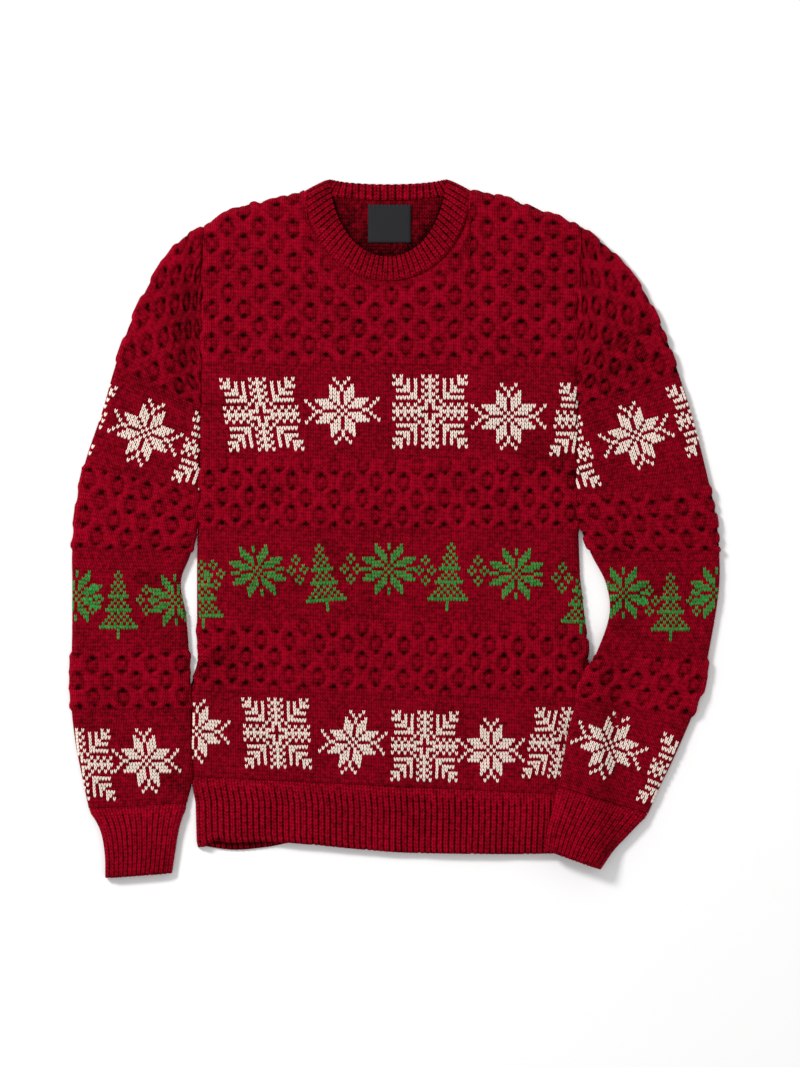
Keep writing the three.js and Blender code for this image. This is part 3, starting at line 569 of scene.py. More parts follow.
def side_places(wide, count, around):
    """Places across a sheet from 0 to wide, close together where the folded edges turn down."""
    turn = np.linspace(0, math.pi / 2, SIDE_STEPS, endpoint=False)
    edge = around * (1 - np.cos(turn))
    middle = np.linspace(around, wide - around, count)
    return np.concatenate([edge, middle, wide - edge[::-1]])


def front_levels(rows, yoke_rows):
    """Pairs (share of the way up the zones, share of the way up the yoke)."""
    zones = [(share, 0.0) for share in np.linspace(0, 1, rows)]
    turn = np.linspace(0, math.pi / 2, yoke_rows)
    yoke = [(1.0, share) for share in 0.75 * turn / turn[-1] + 0.25 * np.sin(turn)]
    return zones + yoke[1:]


def front_places(levels, columns, inset, around):
    """x and y of a grid over the front. inset is how far inside the outline it stops."""
    grid = np.zeros((len(levels), columns + 2 * SIDE_STEPS, 2))
    for row, (up, yoke) in enumerate(levels):
        side_y = lerp(zone_line(0, 0.5), zone_line(5, 0.5), up) + yoke * (SHOULDER_END - zone_line(5, 0.5))
        wrap = body_side("wrap", side_y)
        left = body_side("left", side_y) + inset * wrap
        right = body_side("right", side_y) - inset * wrap
        x = left + side_places(right - left, columns, around)
        share = (x - left) / (right - left)
        start = lerp(zone_line(0, share), zone_line(5, share), up)
        top = np.minimum(curve(x, SHOULDER_LINE["x"], SHOULDER_LINE["y"]) - inset, neck_hole(x) - inset / 7)
        grid[row, :, 0] = x
        grid[row, :, 1] = lerp(start, top, yoke)
    return grid


SHOULDER_END = 302.0
outer_places = front_places(front_levels(FRONT_ROWS, YOKE_ROWS), FRONT_COLUMNS, 0, EDGE_ROUND)
inner_places = front_places(front_levels(INSIDE_LEVELS, 5), INSIDE_COLUMNS, WALL, INSIDE_ROUND)
print("front grid:", outer_places.shape[:2], "inside:", inner_places.shape[:2])

# %% [markdown]
# The relief is not simply added to the height. It pushes each point out along the cloth's own direction, so the
# cables also stand out at the folded sides and give the sweater its scalloped edge, as in the photo.

# %% Make the front
def normals_of(grid):
    along = np.gradient(grid, axis=0)
    across = np.gradient(grid, axis=1)
    normal = np.cross(across, along)
    return normal / np.maximum(np.linalg.norm(normal, axis=-1, keepdims=True), 1e-9)


def knit_surface(base, relief, up):
    """Moves a grid out by its relief, less where the edge turns under, and keeps it off the floor."""
    moved = base + normals_of(base) * (relief * lerp(EDGE_RELIEF, 1.0, up))[..., None]
    moved[..., 2] = np.maximum(moved[..., 2], 0)
    return moved


def inside_height(x, y):
    left = body_side("left", y) + WALL * body_side("wrap", y)
    right = body_side("right", y) - WALL * body_side("wrap", y)
    open_side = 1 - body_side("wrap", y)
    from_left = np.maximum(rise(x - left, INSIDE_ROUND), open_side)
    from_right = np.maximum(rise(right - x, INSIDE_ROUND), open_side)
    from_top = rise(curve(x, SHOULDER_LINE["x"], SHOULDER_LINE["y"]) - WALL - y, INSIDE_ROUND)
    roof = INSIDE_HEIGHT + np.minimum(0, fold_height(x, y))
    return np.minimum(np.minimum(from_left, from_right), from_top) * roof


def stitch_count(x, y, wide, tall):
    return np.stack([x / wide, y / tall, np.zeros_like(x)], -1)


def make_front():
    x = outer_places[..., 0]
    y = outer_places[..., 1]
    height, up = front_height(x, y)
    relief, shade = body_relief(x, y)
    outer = knit_surface(np.stack([x, y, height], -1), relief, up)
    inner_x = inner_places[..., 0]
    inner_y = inner_places[..., 1]
    inner = np.stack([inner_x, inner_y, inside_height(inner_x, inner_y)], -1)
    share = (x + 200) / 400
    rows = y - zone_line(0, share)
    return closed_wall("knit_front", outer, inner, stitch_count(x, rows, STITCH_WIDE, STITCH_TALL), shade)


front = make_front()

# %% [markdown]
# ## Sleeves
# A sleeve is a flattened tube. Each row of its table is a line across the sleeve, from the side near the body to
# the far side, so that the knitting bends with the arm. The cap is narrow where it is sewn to the body and fans
# out to the full width of the sleeve.
# The right sleeve has been laid partly over the body, so it is lifted there, and its cloth hangs down to the
# floor again outside the body's edge.

# %% Tables of the sleeves
LEFT_SLEEVE = {
    "near_x": [-193.9, -193.6, -193.4, -193.4, -193.5, -193.6, -193.6, -194.3, -196.3, -203, -213, -208,
               -205, -205, -202.2, -201.8, -200.5, -206.5],
    "near_y": [238, 214, 190, 166, 142, 119, 80, 36, 6, -25, -54, -86, -122, -152, -182, -214, -246, -274],
    "far_x": [-189.8, -207, -225, -243, -262, -279, -291, -309, -317, -321.5, -321.5, -321.5,
              -322, -323, -322, -318, -311.5, -305],
    "far_y": [300.5, 292, 274, 246, 207, 160, 118, 64, 20, -22, -52, -86, -123, -153, -183, -216, -249, -280],
    "cables": ((0, 5), (7, 9), (12, 14)),
}
RIGHT_SLEEVE = {
    "near_x": [185.4, 184.0, 183.8, 183.8, 183.8, 183.8, 183.0, 181.8, 185.7, 197, 212, 215,
               201, 187, 181.5, 173.5, 168.5, 164.5],
    "near_y": [238, 214, 190, 166, 142, 119, 76, 34, 3, -26, -56, -88, -126, -150, -172, -202, -232, -257],
    "far_x": [187.8, 206, 226, 248, 268, 285, 299, 315, 322, 325, 325, 321, 313.5, 309, 297, 280, 266, 254],
    "far_y": [300.5, 286, 267, 238, 199, 152, 108, 44, 8, -25, -56, -88, -130, -160, -190, -229, -258, -285],
    "cables": ((0, 5), (7, 9), (12, 14)),
}
LEFT_CUFF = {
    "near_x": [-207.2, -215, -219, -222],
    "near_y": [-274.4, -300, -324, -344],
    "far_x": [-304.6, -293, -288.5, -288],
    "far_y": [-280.4, -302, -326, -349],
    "cables": (),
}
RIGHT_CUFF = {
    "near_x": [164.3, 158.5, 153, 151],
    "near_y": [-257.5, -280, -302, -320],
    "far_x": [253.6, 235, 219, 206],
    "far_y": [-285.4, -305, -322, -340],
    "cables": (),
}
SLEEVE_LIFT = 14.0
LIFT_FROM = 78.0
LIFT_FULL = 128.0
DRAPE_REACH = -30.0
DRAPE_CLEAR = -3.0


def lift_at(x, y):
    """How far the cloth is held off the floor by the body that it lies over."""
    along = smooth((-y - LIFT_FROM) / (LIFT_FULL - LIFT_FROM))
    inside = body_side("right", y) - x
    across = smooth((inside - DRAPE_REACH) / (DRAPE_CLEAR - DRAPE_REACH))
    return np.where(x > 0, SLEEVE_LIFT * along * across, 0.0)


print("the right sleeve lies", SLEEVE_LIFT, "mm up over the body")

# %% Places round a tube
UNDERSIDE_TUCK = 2.5
UNDER_STEPS = 4
TYPICAL_WIDTH = 120.0


def over_and_under(wide, count):
    """Offsets from the near side: over the top to the far side and back underneath, with the height's share."""
    over = side_places(wide, count, EDGE_ROUND)
    over = np.append(over, wide)
    turn = np.array([0.35, 0.7, 1.0]) * math.pi / 2
    tuck = UNDERSIDE_TUCK * (1 - np.cos(turn))
    drop = SIDE_BELLY * (1 - np.sin(turn))
    floor_places = np.linspace(wide - UNDERSIDE_TUCK, UNDERSIDE_TUCK, UNDER_STEPS)[1:-1]
    under = np.concatenate([wide - tuck, floor_places, tuck[::-1]])
    under_high = np.concatenate([drop, np.zeros(len(floor_places)), drop[::-1]])
    shares = np.concatenate([0.5 * over / wide, 1 - 0.5 * under / wide])
    return over, under, under_high, shares


def tube_sides(table, rows):
    """The near and far ends of evenly spaced sections, and how far along the middle each one is."""
    count = len(table["near_x"])
    number = np.arange(count)
    middle_x = (np.array(table["near_x"]) + np.array(table["far_x"])) / 2
    middle_y = (np.array(table["near_y"]) + np.array(table["far_y"])) / 2
    long = np.concatenate([[0], np.cumsum(np.hypot(np.diff(middle_x), np.diff(middle_y)))])
    along = np.linspace(0, long[-1], rows)
    place = np.interp(along, long, number)
    near = np.stack([curve(place, number, table["near_x"]), curve(place, number, table["near_y"])], -1)
    far = np.stack([curve(place, number, table["far_x"]), curve(place, number, table["far_y"])], -1)
    return near, far, along, [(long[start], long[end]) for start, end in table["cables"]]


def tube_point(near, far, offset, wide, high):
    spot = near[:, None, :] + (far - near)[:, None, :] * (offset / wide)[..., None]
    x = spot[..., 0]
    y = spot[..., 1]
    return np.stack([x, y, high + lift_at(x, y)], -1)


def inner_tube(table, rows):
    near, far, _, _ = tube_sides(table, rows)
    wide = np.hypot(*(far - near).T)[:, None]
    flat = np.linspace(0, 1, 5)
    low = WALL + 3.0
    over = low + (wide - 2 * low) * flat
    under = over[:, ::-1]
    edge = np.full_like(wide, WALL)
    offset = np.concatenate([edge, over, wide - WALL, under], axis=1)
    middle = np.full_like(wide, WALL + HOLLOW / 2)
    roof = np.full_like(over, INSIDE_HEIGHT)
    high = np.concatenate([middle, roof, middle, np.full_like(over, WALL)], axis=1)
    points = tube_point(near, far, offset, wide, high)
    top = slice(1, 6)
    points[:, top, 2] += np.minimum(0, fold_height(points[:, top, 0], points[:, top, 1]))
    typical = 0.5 * (low + (TYPICAL_WIDTH - 2 * low) * flat) / TYPICAL_WIDTH
    shares = np.concatenate([[0], typical, [0.5], 1 - typical[::-1]])
    return points, shares


print("a tube has an outside over and under and a plain inside")

# %% [markdown]
# The same function makes sleeves and cuffs. The only difference is the relief: cables in bands on a sleeve and
# ribs on a cuff. The ribs run along the cuff, and a cuff's free end is rounded like a rolled edge of knitting.

# %% Make the sleeves and cuffs
SLEEVE_ROWS = 343
SLEEVE_COLUMNS = 56
SLEEVE_INSIDE_ROWS = 26
CUFF_ROWS = 26
CUFF_COLUMNS = 132
CUFF_INSIDE_ROWS = 5
CUFF_DEPTH = 0.7
CUFF_ROLL = 3.0
ROLL_DROP = 2.0


def sleeve_relief(offset, wide, along, cables):
    across = offset - wide / 2
    height = np.zeros_like(offset)
    shade = np.full_like(offset, PLAIN_SHADE)
    for start, end in cables:
        inside = smooth((along - start) / ZONE_FADE) * smooth((end - along) / ZONE_FADE)
        cable = honeycomb(across, end - along + SLEEVE_START)
        height += inside * cable
        shade = lerp(shade, cable_shade(cable), inside)
    return height, shade


def make_tube(name, table, rows, columns, inside_rows, ribbed):
    near, far, along, cables = tube_sides(table, rows)
    wide = np.hypot(*(far - near).T)
    sets = [over_and_under(w, columns) for w in wide]
    over = np.array([row[0] for row in sets])
    under = np.array([row[1] for row in sets])
    under_high = np.array([row[2] for row in sets])
    wide = wide[:, None]
    along = np.broadcast_to(along[:, None], over.shape)
    if ribbed:
        turns = (over / wide - 0.5) * CUFF_RIBS
        level = rib_from_seam(turns, along, CUFF_DEPTH)
        relief = rib_height(level, along)
        shade = rib_shade_from_seam(level, along)
        stitches = np.stack([turns + 0.5, along / STITCH_TALL, np.zeros_like(over)], -1)
    else:
        relief, shade = sleeve_relief(over, wide, along, cables)
        stitches = stitch_count(over - wide / 2, -along, STITCH_WIDE, STITCH_TALL)
    up = rise(np.minimum(over, wide - over), EDGE_ROUND)
    top = tube_point(near, far, over, wide, SIDE_BELLY)
    shade = shade + fold_shadow(top[..., 0], top[..., 1])
    body = LYING_HEIGHT + fold_height(top[..., 0], top[..., 1]) + wave_height(top[..., 0], top[..., 1])
    top[..., 2] += (body - SIDE_BELLY) * up
    if ribbed:
        top[..., 2] -= ROLL_DROP * (1 - rise(along[-1, 0] - along, CUFF_ROLL))
    bottom = tube_point(near, far, under, wide, under_high)
    facing = -normals_of(top) if table["far_x"][0] < table["near_x"][0] else normals_of(top)
    facing = facing * np.sign(facing[..., 2:3].mean())
    top = top + facing * (relief * lerp(EDGE_RELIEF, 1.0, up))[..., None]
    outer = np.concatenate([top, bottom], axis=1)
    extra = np.full(bottom.shape[:2], PLAIN_SHADE)
    under_along = np.broadcast_to(along[:, :1], under.shape)
    counted = np.concatenate([stitches, stitch_count(under, under_along, STITCH_WIDE, STITCH_TALL)], axis=1)
    shades = np.concatenate([shade, extra], axis=1)
    inner, inner_shares = inner_tube(table, inside_rows)
    shares = over_and_under(TYPICAL_WIDTH, columns)[3]
    return closed_wall(name, outer, inner, counted, shades, tube=(shares, inner_shares))


sleeve_left = make_tube("knit_sleeve_left", LEFT_SLEEVE, SLEEVE_ROWS, SLEEVE_COLUMNS, SLEEVE_INSIDE_ROWS, False)
sleeve_right = make_tube("knit_sleeve_right", RIGHT_SLEEVE, SLEEVE_ROWS, SLEEVE_COLUMNS, SLEEVE_INSIDE_ROWS, False)
cuff_left = make_tube("knit_cuff_left", LEFT_CUFF, CUFF_ROWS, CUFF_COLUMNS, CUFF_INSIDE_ROWS, True)
cuff_right = make_tube("knit_cuff_right", RIGHT_CUFF, CUFF_ROWS, CUFF_COLUMNS, CUFF_INSIDE_ROWS, True)

# %% [markdown]
# ## Hem
# The hem is ribbed and hangs a little unevenly. The back hem lies flat underneath and peeps out below the front
# one in places, which tells the eye that this is a tube of cloth and not a cut-out.

# %% Make the front and back hems
SEAM = 0.3
BACK_INSET = WALL + SEAM + 0.8
RIB_COLUMNS = 9
HEM_ROWS = 34
HEM_ROLL = 3.0
HEM_CORNER_Y = -317.0
HEM_SIDE_Y = -250.0
HEM_SHADOW = 0.45
HEM_SHADOW_REACH = 7.0


def hem_outline(side, inset, columns, rows, seam_gap):
    """x and y of a grid over a hem, from its lower edge up to its seam."""
    up = np.linspace(0, 1, rows)[:, None]
    guess = lerp(HEM_CORNER_Y, HEM_SIDE_Y, up)
    left = body_side("left", guess) + inset
    right = body_side("right", guess) - inset
    x = left + (right - left) * columns[None, :]
    share = (x - body_side("left", HEM_SIDE_Y)) / (body_side("right", HEM_SIDE_Y) - body_side("left", HEM_SIDE_Y))
    bottom = curve(x, HEM_BOTTOM["x"], HEM_BOTTOM[side])
    return x, lerp(bottom, zone_line(0, share) - seam_gap, up), left, right


def edge_columns(count, wide):
    places = side_places(wide, count, EDGE_ROUND)
    return np.append(places, wide) / wide


def make_front_hem():
    body_wide = 390.0
    columns = edge_columns(HEM_RIBS * RIB_COLUMNS - 40, body_wide)
    x, y, left, right = hem_outline("front", 0, columns, HEM_ROWS, SEAM)
    up = rise(np.minimum(x - left, right - x), EDGE_ROUND)
    height = up * (LYING_HEIGHT + fold_height(x, y) + wave_height(x, y))
    bottom = curve(x, HEM_BOTTOM["x"], HEM_BOTTOM["front"])
    height -= up * 2.2 * (1 - rise(y - bottom, HEM_ROLL))
    share = (x - left) / (right - left)
    turns = share * HEM_RIBS
    from_seam = zone_line(0, share) - y
    level = rib_from_seam(turns, from_seam, 1.0)
    outer = knit_surface(np.stack([x, y, height], -1), rib_height(level, from_seam), up)
    inside = edge_columns(8, body_wide)
    in_x, in_y, in_left, in_right = hem_outline("front", WALL, inside, 5, SEAM)
    roof = INSIDE_HEIGHT + np.minimum(0, fold_height(in_x, in_y))
    in_high = rise(np.minimum(in_x - in_left, in_right - in_x), INSIDE_ROUND) * roof
    inner = np.stack([in_x, in_y, in_high], -1)
    stitches = np.stack([turns + 0.5, (y - bottom) / STITCH_TALL, np.zeros_like(x)], -1)
    return closed_wall("knit_hem_front", outer, inner, stitches, rib_shade_from_seam(level, from_seam))


def make_back_hem():
    columns = np.linspace(0, 1, HEM_RIBS * RIB_COLUMNS)
    x, y, left, right = hem_outline("back", BACK_INSET, columns, 14, SEAM)
    turns = (x - left) / (right - left) * (HEM_RIBS - 1) + 0.5
    level = rib(turns)
    bottom = curve(x, HEM_BOTTOM["x"], HEM_BOTTOM["back"])
    height = 1.2 + (WALL - 1.2) * rise(y - bottom, HEM_ROLL)
    outer = np.stack([x, y, height + level], -1)
    in_x, in_y, _, _ = hem_outline("back", BACK_INSET, np.linspace(0, 1, 40), 4, SEAM)
    inner = np.stack([in_x, in_y, np.zeros_like(in_x)], -1)
    stitches = np.stack([turns + 0.5, (y - bottom) / STITCH_TALL, np.zeros_like(x)], -1)
    shade = rib_shade(level) - HEM_SHADOW * smooth((y - bottom) / HEM_SHADOW_REACH)
    return closed_wall("knit_hem_back", outer, inner, stitches, shade)


front_hem = make_front_hem()
back_hem = make_back_hem()

# %% [markdown]
# ## Back
# Only a little of the back shows, inside the collar, so it is one flat slab of cloth that is fine there and
# coarse elsewhere. The wrong side of a honeycomb is a faint hollow where each strand runs.

# %% Make the back
BACK_FINE_FROM_Y = 225.0
BACK_FINE_HALF = 100.0
WRONG_SIDE = -0.3
NECK_SHADOW = 0.42
NECK_SHADOW_REACH = 13.0
TUCKED = 0.6
TAPE_LONG = 6.5
TAPE_HIGH = 0.8
TAPE_EDGE = 1.2
TAPE_SHADE = 0.36
# BACK_SHADE is painted shade: the back lies deep inside the collar and is painted darker than the front.
BACK_SHADE = 0.43


def back_neck(x):
    """The y of the back's neck edge, which is tucked a little under the collar."""
    share = np.clip(np.abs(x - NECK_X) / NECK_EDGE["half"], 0, 1)
    return NECK_SEAM["y"] + TUCKED - NECK_SEAM["dip"] * np.sqrt(1 - share ** 2)


def back_places(columns, rows):
    side_y = np.concatenate([np.linspace(-262, BACK_FINE_FROM_Y, rows[0]), np.linspace(BACK_FINE_FROM_Y, 302, rows[1])[1:]])
    left = body_side("left", side_y) + WALL * body_side("wrap", side_y) + SEAM + 0.8
    right = body_side("right", side_y) - WALL * body_side("wrap", side_y) - SEAM - 0.8
    x = lerp(left[:, None], right[:, None], columns[None, :])
    shoulder = curve(x, SHOULDER_LINE["x"], SHOULDER_LINE["y"]) - BACK_INSET
    top = np.minimum(shoulder, back_neck(x))
    share = np.clip(columns[None, :], 0, 1)
    bottom = zone_line(0, share) + 0 * x
    up = np.clip((side_y + 262) / (BACK_FINE_FROM_Y + 262), 0, 1)[:, None]
    over = np.clip((side_y - BACK_FINE_FROM_Y) / (302 - BACK_FINE_FROM_Y), 0, 1)[:, None]
    return x, lerp(lerp(bottom, BACK_FINE_FROM_Y, up), top, over)


def make_back():
    fine = np.linspace(0.22, 0.76, 110)
    columns = np.concatenate([np.linspace(0, 0.22, 12)[:-1], fine, np.linspace(0.76, 1, 12)[1:]])
    x, y = back_places(columns, (12, 58))
    relief = np.clip(WRONG_SIDE * honeycomb(x, y), -1.1, 0.15)
    taped = smooth((y - back_neck(x) + TAPE_LONG) / TAPE_EDGE)
    from_band = y - neck_hole(x, NECK_EDGE)
    # Painted shade: the back is darker overall, and darker still in the hollows of its wrong side.
    shade = lerp(BACK_SHADE + 0.25 * relief, TAPE_SHADE, taped)
    shade -= NECK_SHADOW * np.exp(-((from_band / NECK_SHADOW_REACH) ** 2))
    relief = lerp(relief, TAPE_HIGH, taped)
    outer = np.stack([x, y, WALL + relief], -1)
    in_x, in_y = back_places(np.linspace(0, 1, 24), (10, 6))
    inner = np.stack([in_x, in_y, np.zeros_like(in_x)], -1)
    return closed_wall("knit_back", outer, inner, stitch_count(x, y, STITCH_WIDE, STITCH_TALL), shade)


back = make_back()

# %% [markdown]
# ## Collar
# The neckband is a ring of rib. Its front half stands over the front of the body and is seen from outside, and
# its back half is seen from inside the neck. So both of its faces are ribbed.

# %% Make the neckband
NECK_FRONT_RIBS = 43
NECK_BACK_RIBS = 24
NECK_ROUND_STEPS = 9
NECK_BULGE = 1.1
NECK_RIB = 1.3
# NECK_VALLEY and NECK_CREST bound the neckband's painted shade: dark in its rib valleys, light on its crests.
NECK_VALLEY = 0.18
NECK_CREST = 0.88
NECK_INNER_RIB = 0.75
NECK_RIB_ROUND = 1.5
EDGE_BUMP = 1.2
UPRIGHT = 6
SEAM_VALLEY = 0.35
NECK_WIDE = 25.0


def make_neckband():
    steps = (NECK_FRONT_RIBS + NECK_BACK_RIBS) * RIB_COLUMNS
    turns = np.arange(steps) / RIB_COLUMNS
    front_part = math.pi * turns / NECK_FRONT_RIBS
    back_part = math.pi + math.pi * (turns - NECK_FRONT_RIBS) / NECK_BACK_RIBS
    seam, edge, out = neck_ring(np.where(turns < NECK_FRONT_RIBS, front_part, back_part))
    from_middle = edge[:, 0] - NECK_X
    at_fold = (np.abs(from_middle) / NECK_EDGE["half"]) ** UPRIGHT
    upright = lerp(edge[:, 0], seam[:, 0], at_fold)
    seam[:, 0] = np.where(turns < NECK_FRONT_RIBS, seam[:, 0], upright)
    edge = edge + EDGE_BUMP * (rib(turns)[:, None] - 0.5) * (edge - seam) / NECK_WIDE
    share = np.linspace(0, 1, NECK_ROUND_STEPS)
    thin = WALL / 2 * (1 - 0.35 * share)
    end = np.sqrt(np.maximum(0, 1 - ((share - 0.9) / 0.1).clip(0, 1) ** 2))
    crest = rib(turns)[:, None] ** NECK_RIB_ROUND
    valley = rib(turns + 0.5)[:, None] ** NECK_RIB_ROUND
    outside = thin + NECK_BULGE * np.sin(math.pi * share) + NECK_RIB * crest * lerp(0.7, 1.0, share)
    inside = thin + NECK_INNER_RIB * valley
    away = np.concatenate([outside * end, -(inside * end)[:, ::-1]], axis=1)
    place = np.concatenate([share, share[::-1]])
    base = lerp(seam[:, None, :], edge[:, None, :], place[None, :, None])
    points = base + out[:, None, :] * away[..., None]
    points[..., 2] = np.maximum(points[..., 2], 0)
    rows, columns = points.shape[:2]
    ring = np.arange(rows * columns).reshape(rows, columns)
    after = np.roll(ring, -1, axis=0)
    faces = np.stack([ring, np.roll(ring, -1, axis=1), np.roll(after, -1, axis=1), after], -1)
    # Painted shade of the ribs: valleys dark and shallower by the seam, crests light.
    deep = lerp(SEAM_VALLEY, 1.0, smooth(2 * share))
    level = np.concatenate([1 - (1 - crest) * deep, np.repeat(valley, NECK_ROUND_STEPS, 1)], axis=1)
    level = lerp(NECK_VALLEY, NECK_CREST, level)
    wide = np.hypot(*(edge - seam)[:, :2].T)[:, None]
    counted = np.stack([turns[:, None] + 0.5 + 0 * away, place * wide / STITCH_TALL, 0 * away], -1)
    counted = counted.reshape(-1, 3)
    piece = new_mesh("knit_neckband", points.reshape(-1, 3), faces.reshape(-1, 4), counted, rib_shade(level).ravel())
    outward(piece)
    return piece


neckband = make_neckband()
print("the neckband has", NECK_FRONT_RIBS + NECK_BACK_RIBS, "ribs")

# %% [markdown]
# ## Coloured stitches
# The white and green patterns are not dyed or printed. Each mark is a stitch of another yarn, a small V that
# stands a little proud. So the patterns are charts, as a knitter would draw them: eight-point stars, square
# snowflakes, fir trees and small diamonds of dots, all of them common in folk knitting.
# A chart here is one quarter of its pattern, and the tree one half. The rest is its mirror image.

# %% Charts
STAR = (
    "..#........",
    ".#.........",
    "#..#.......",
    "#.##.......",
    ".###.......",
    ".###.......",
    ".##.####..#",
    ".#.####..#.",
    "#.####..#..",
    ".#....##...",
)
SNOWFLAKE = (
    "#.#.....#.#",
    "##..#.#.##.",
    "#.#.#.#.###",
    "##..#.##...",
    "#.#.#.####.",
    "##..##.....",
    "#.#.######.",
    "##.#.......",
    ".#..#.#.#.#",
    ".###.#.#.#.",
    "...########",
)
SMALL_STAR = (
    "#...#....",
    "#..##....",
    "..###....",
    ".###.....",
    ".##..####",
    ".#.#####.",
    "#.####...",
    ".#....###",
)
DIAMOND = (
    "#...",
    ".#..",
    "#...",
    "..#.",
    ".#.#",
)
TREE = (
    "#......",
    ".#.....",
    "#......",
    ".#.....",
    "#.#....",
    ".#.....",
    "#.#....",
    "####...",
    ".#.....",
    "#.#....",
    ".#.#...",
    "#####..",
    "#.#....",
    ".#.#...",
    "#.#.#..",
    ".#.#.#.",
    "#######",
    "#......",
    "#......",
    "#......",
)


def marks(chart):
    top = len(chart) - 1
    return [(x, top - row) for row, line in enumerate(chart) for x, mark in enumerate(line) if mark == "#"]


def quarter(chart):
    """Every stitch of a pattern whose chart is its upper right quarter."""
    return sorted({(side * x, end * y) for x, y in marks(chart) for side in (-1, 1) for end in (-1, 1)})


def half(chart):
    """Every stitch of a pattern whose chart is its right half, counted from its middle."""
    middle = (len(chart) - 1) / 2
    return sorted({(side * x, y - middle) for x, y in marks(chart) for side in (-1, 1)})


PATTERNS = {
    "star": quarter(STAR),
    "snowflake": quarter(SNOWFLAKE),
    "small star": quarter(SMALL_STAR),
    "diamond": quarter(DIAMOND),
    "tree": half(TREE),
}
print({name: len(stitches) for name, stitches in PATTERNS.items()}, "stitches in each pattern")

# %% [markdown]
# The knitting is not ruled paper. It is pulled here and there, so each pattern has its own turn and lean in
# degrees, next to the place of its middle. A pattern that runs over the edge of its cloth simply stops there,
# because a stitch is kept only where there is cloth right under it.

# %% Where the patterns are
FRONT_WHITE_TOP = (
    ("snowflake", -132, 113, 1, 7),
    ("star", -51.5, 117, 2, 0),
    ("snowflake", 36, 116, 0, 0),
    ("star", 114.5, 111, 0, 0),
    ("snowflake", 198, 107, -2, -7),
)
FRONT_WHITE_LOW = (
    ("star", -197, -203, -2, 0),
    ("snowflake", -117, -205, -1, 4),
    ("star", -41, -214, -2, -6),
    ("snowflake", 30.5, -218, -1, 0),
    ("star", 97, -222, 0, 0),
    ("snowflake", 168, -214.5, 0, -12),
)
FRONT_GREEN = (
    ("tree", -191, -66, 2, 0),
    ("diamond", -179, -47, 8, 0),
    ("small star", -136, -43, 5, 6),
    ("diamond", -96, -42, 6, 4),
    ("tree", -70.5, -50, 4, 4),
    ("diamond", -43, -41, 0, 0),
    ("small star", -5, -41, 0, 0),
    ("diamond", 31.5, -42.5, 0, 0),
    ("tree", 55, -49, 0, -4),
    ("diamond", 84, -43, 0, 0),
    ("small star", 122, -46, -1, 0),
    ("diamond", 168, -50, -2, 0),
    ("tree", 188, -72, -3, 0),
)
LEFT_WHITE_TOP = (
    ("snowflake", -176, 70, -20, 0),
    ("star", -248, 95, -20, 0),
    ("snowflake", -323, 120, -22, 0),
)
LEFT_GREEN = (
    ("small star", -317, -68, -2, 0),
    ("diamond", -300, -71, -2, 0),
    ("tree", -275, -77, 0, 0),
    ("diamond", -247, -72, 0, 0),
    ("small star", -218, -72, 2, 0),
)
LEFT_WHITE_LOW = (
    ("snowflake", -314, -236, -1, 6),
    ("star", -247, -232.5, 0, 6),
)
RIGHT_WHITE_TOP = (
    ("snowflake", 162, 67, 17, 0),
    ("star", 242, 92, 17, 0),
    ("snowflake", 317, 116, 18, 0),
)
RIGHT_GREEN = (
    ("small star", 229, -65, 0, 0),
    ("diamond", 255, -73, 0, 0),
    ("tree", 276, -79, 0, 0),
    ("diamond", 302, -73, 0, 0),
    ("small star", 322, -65, 0, 0),
)
RIGHT_WHITE_LOW = (
    ("star", 214.5, -217, -22, 0),
    ("snowflake", 290, -252, -23, 0),
)
BANDS = (
    # cloth, yarn, patterns, stitch width, stitch height
    (front, "cream", FRONT_WHITE_TOP, 3.6, 3.5),
    (front, "cream", FRONT_WHITE_LOW, 3.2, 3.35),
    (front, "green", FRONT_GREEN, 3.15, 3.4),
    (sleeve_left, "cream", LEFT_WHITE_TOP, 3.5, 3.5),
    (sleeve_left, "green", LEFT_GREEN, 3.0, 3.4),
    (sleeve_left, "cream", LEFT_WHITE_LOW, 3.2, 3.4),
    (sleeve_right, "cream", RIGHT_WHITE_TOP, 3.5, 3.5),
    (sleeve_right, "green", RIGHT_GREEN, 3.0, 3.4),
    (sleeve_right, "cream", RIGHT_WHITE_LOW, 3.6, 3.5),
)
print(sum(len(band[2]) for band in BANDS), "patterns in", len(BANDS), "bands")

# %% [markdown]
# One stitch is two plump legs that meet at the bottom. Each leg is four rings of four points. To put a stitch
# on the cloth, a ray is sent straight down to find the height there and the way the cloth faces, and the legs
# are laid out in that plane.

# %% Shape of one stitch
LEG_ALONG = np.array([0.66, 0.30, -0.2, -0.60])
LEG_OUT = np.array([0.34, 0.26, 0.18, 0.10])
LEG_HALF = np.array([0.13, 0.22, 0.22, 0.11])
LEG_HIGH = np.array([0.25, 1.0, 1.05, 0.3])
RING_SIDE = np.array([-1.0, -0.55, 0.55, 1.0])
RING_HIGH = np.array([-0.35, 0.9, 0.9, -0.35])
LEG_FACES = [(4 * r + p, 4 * r + p + 1, 4 * r + p + 5, 4 * r + p + 4) for r in range(3) for p in range(3)]
LEG_FACES += [(3, 2, 1, 0), (12, 13, 14, 15)]


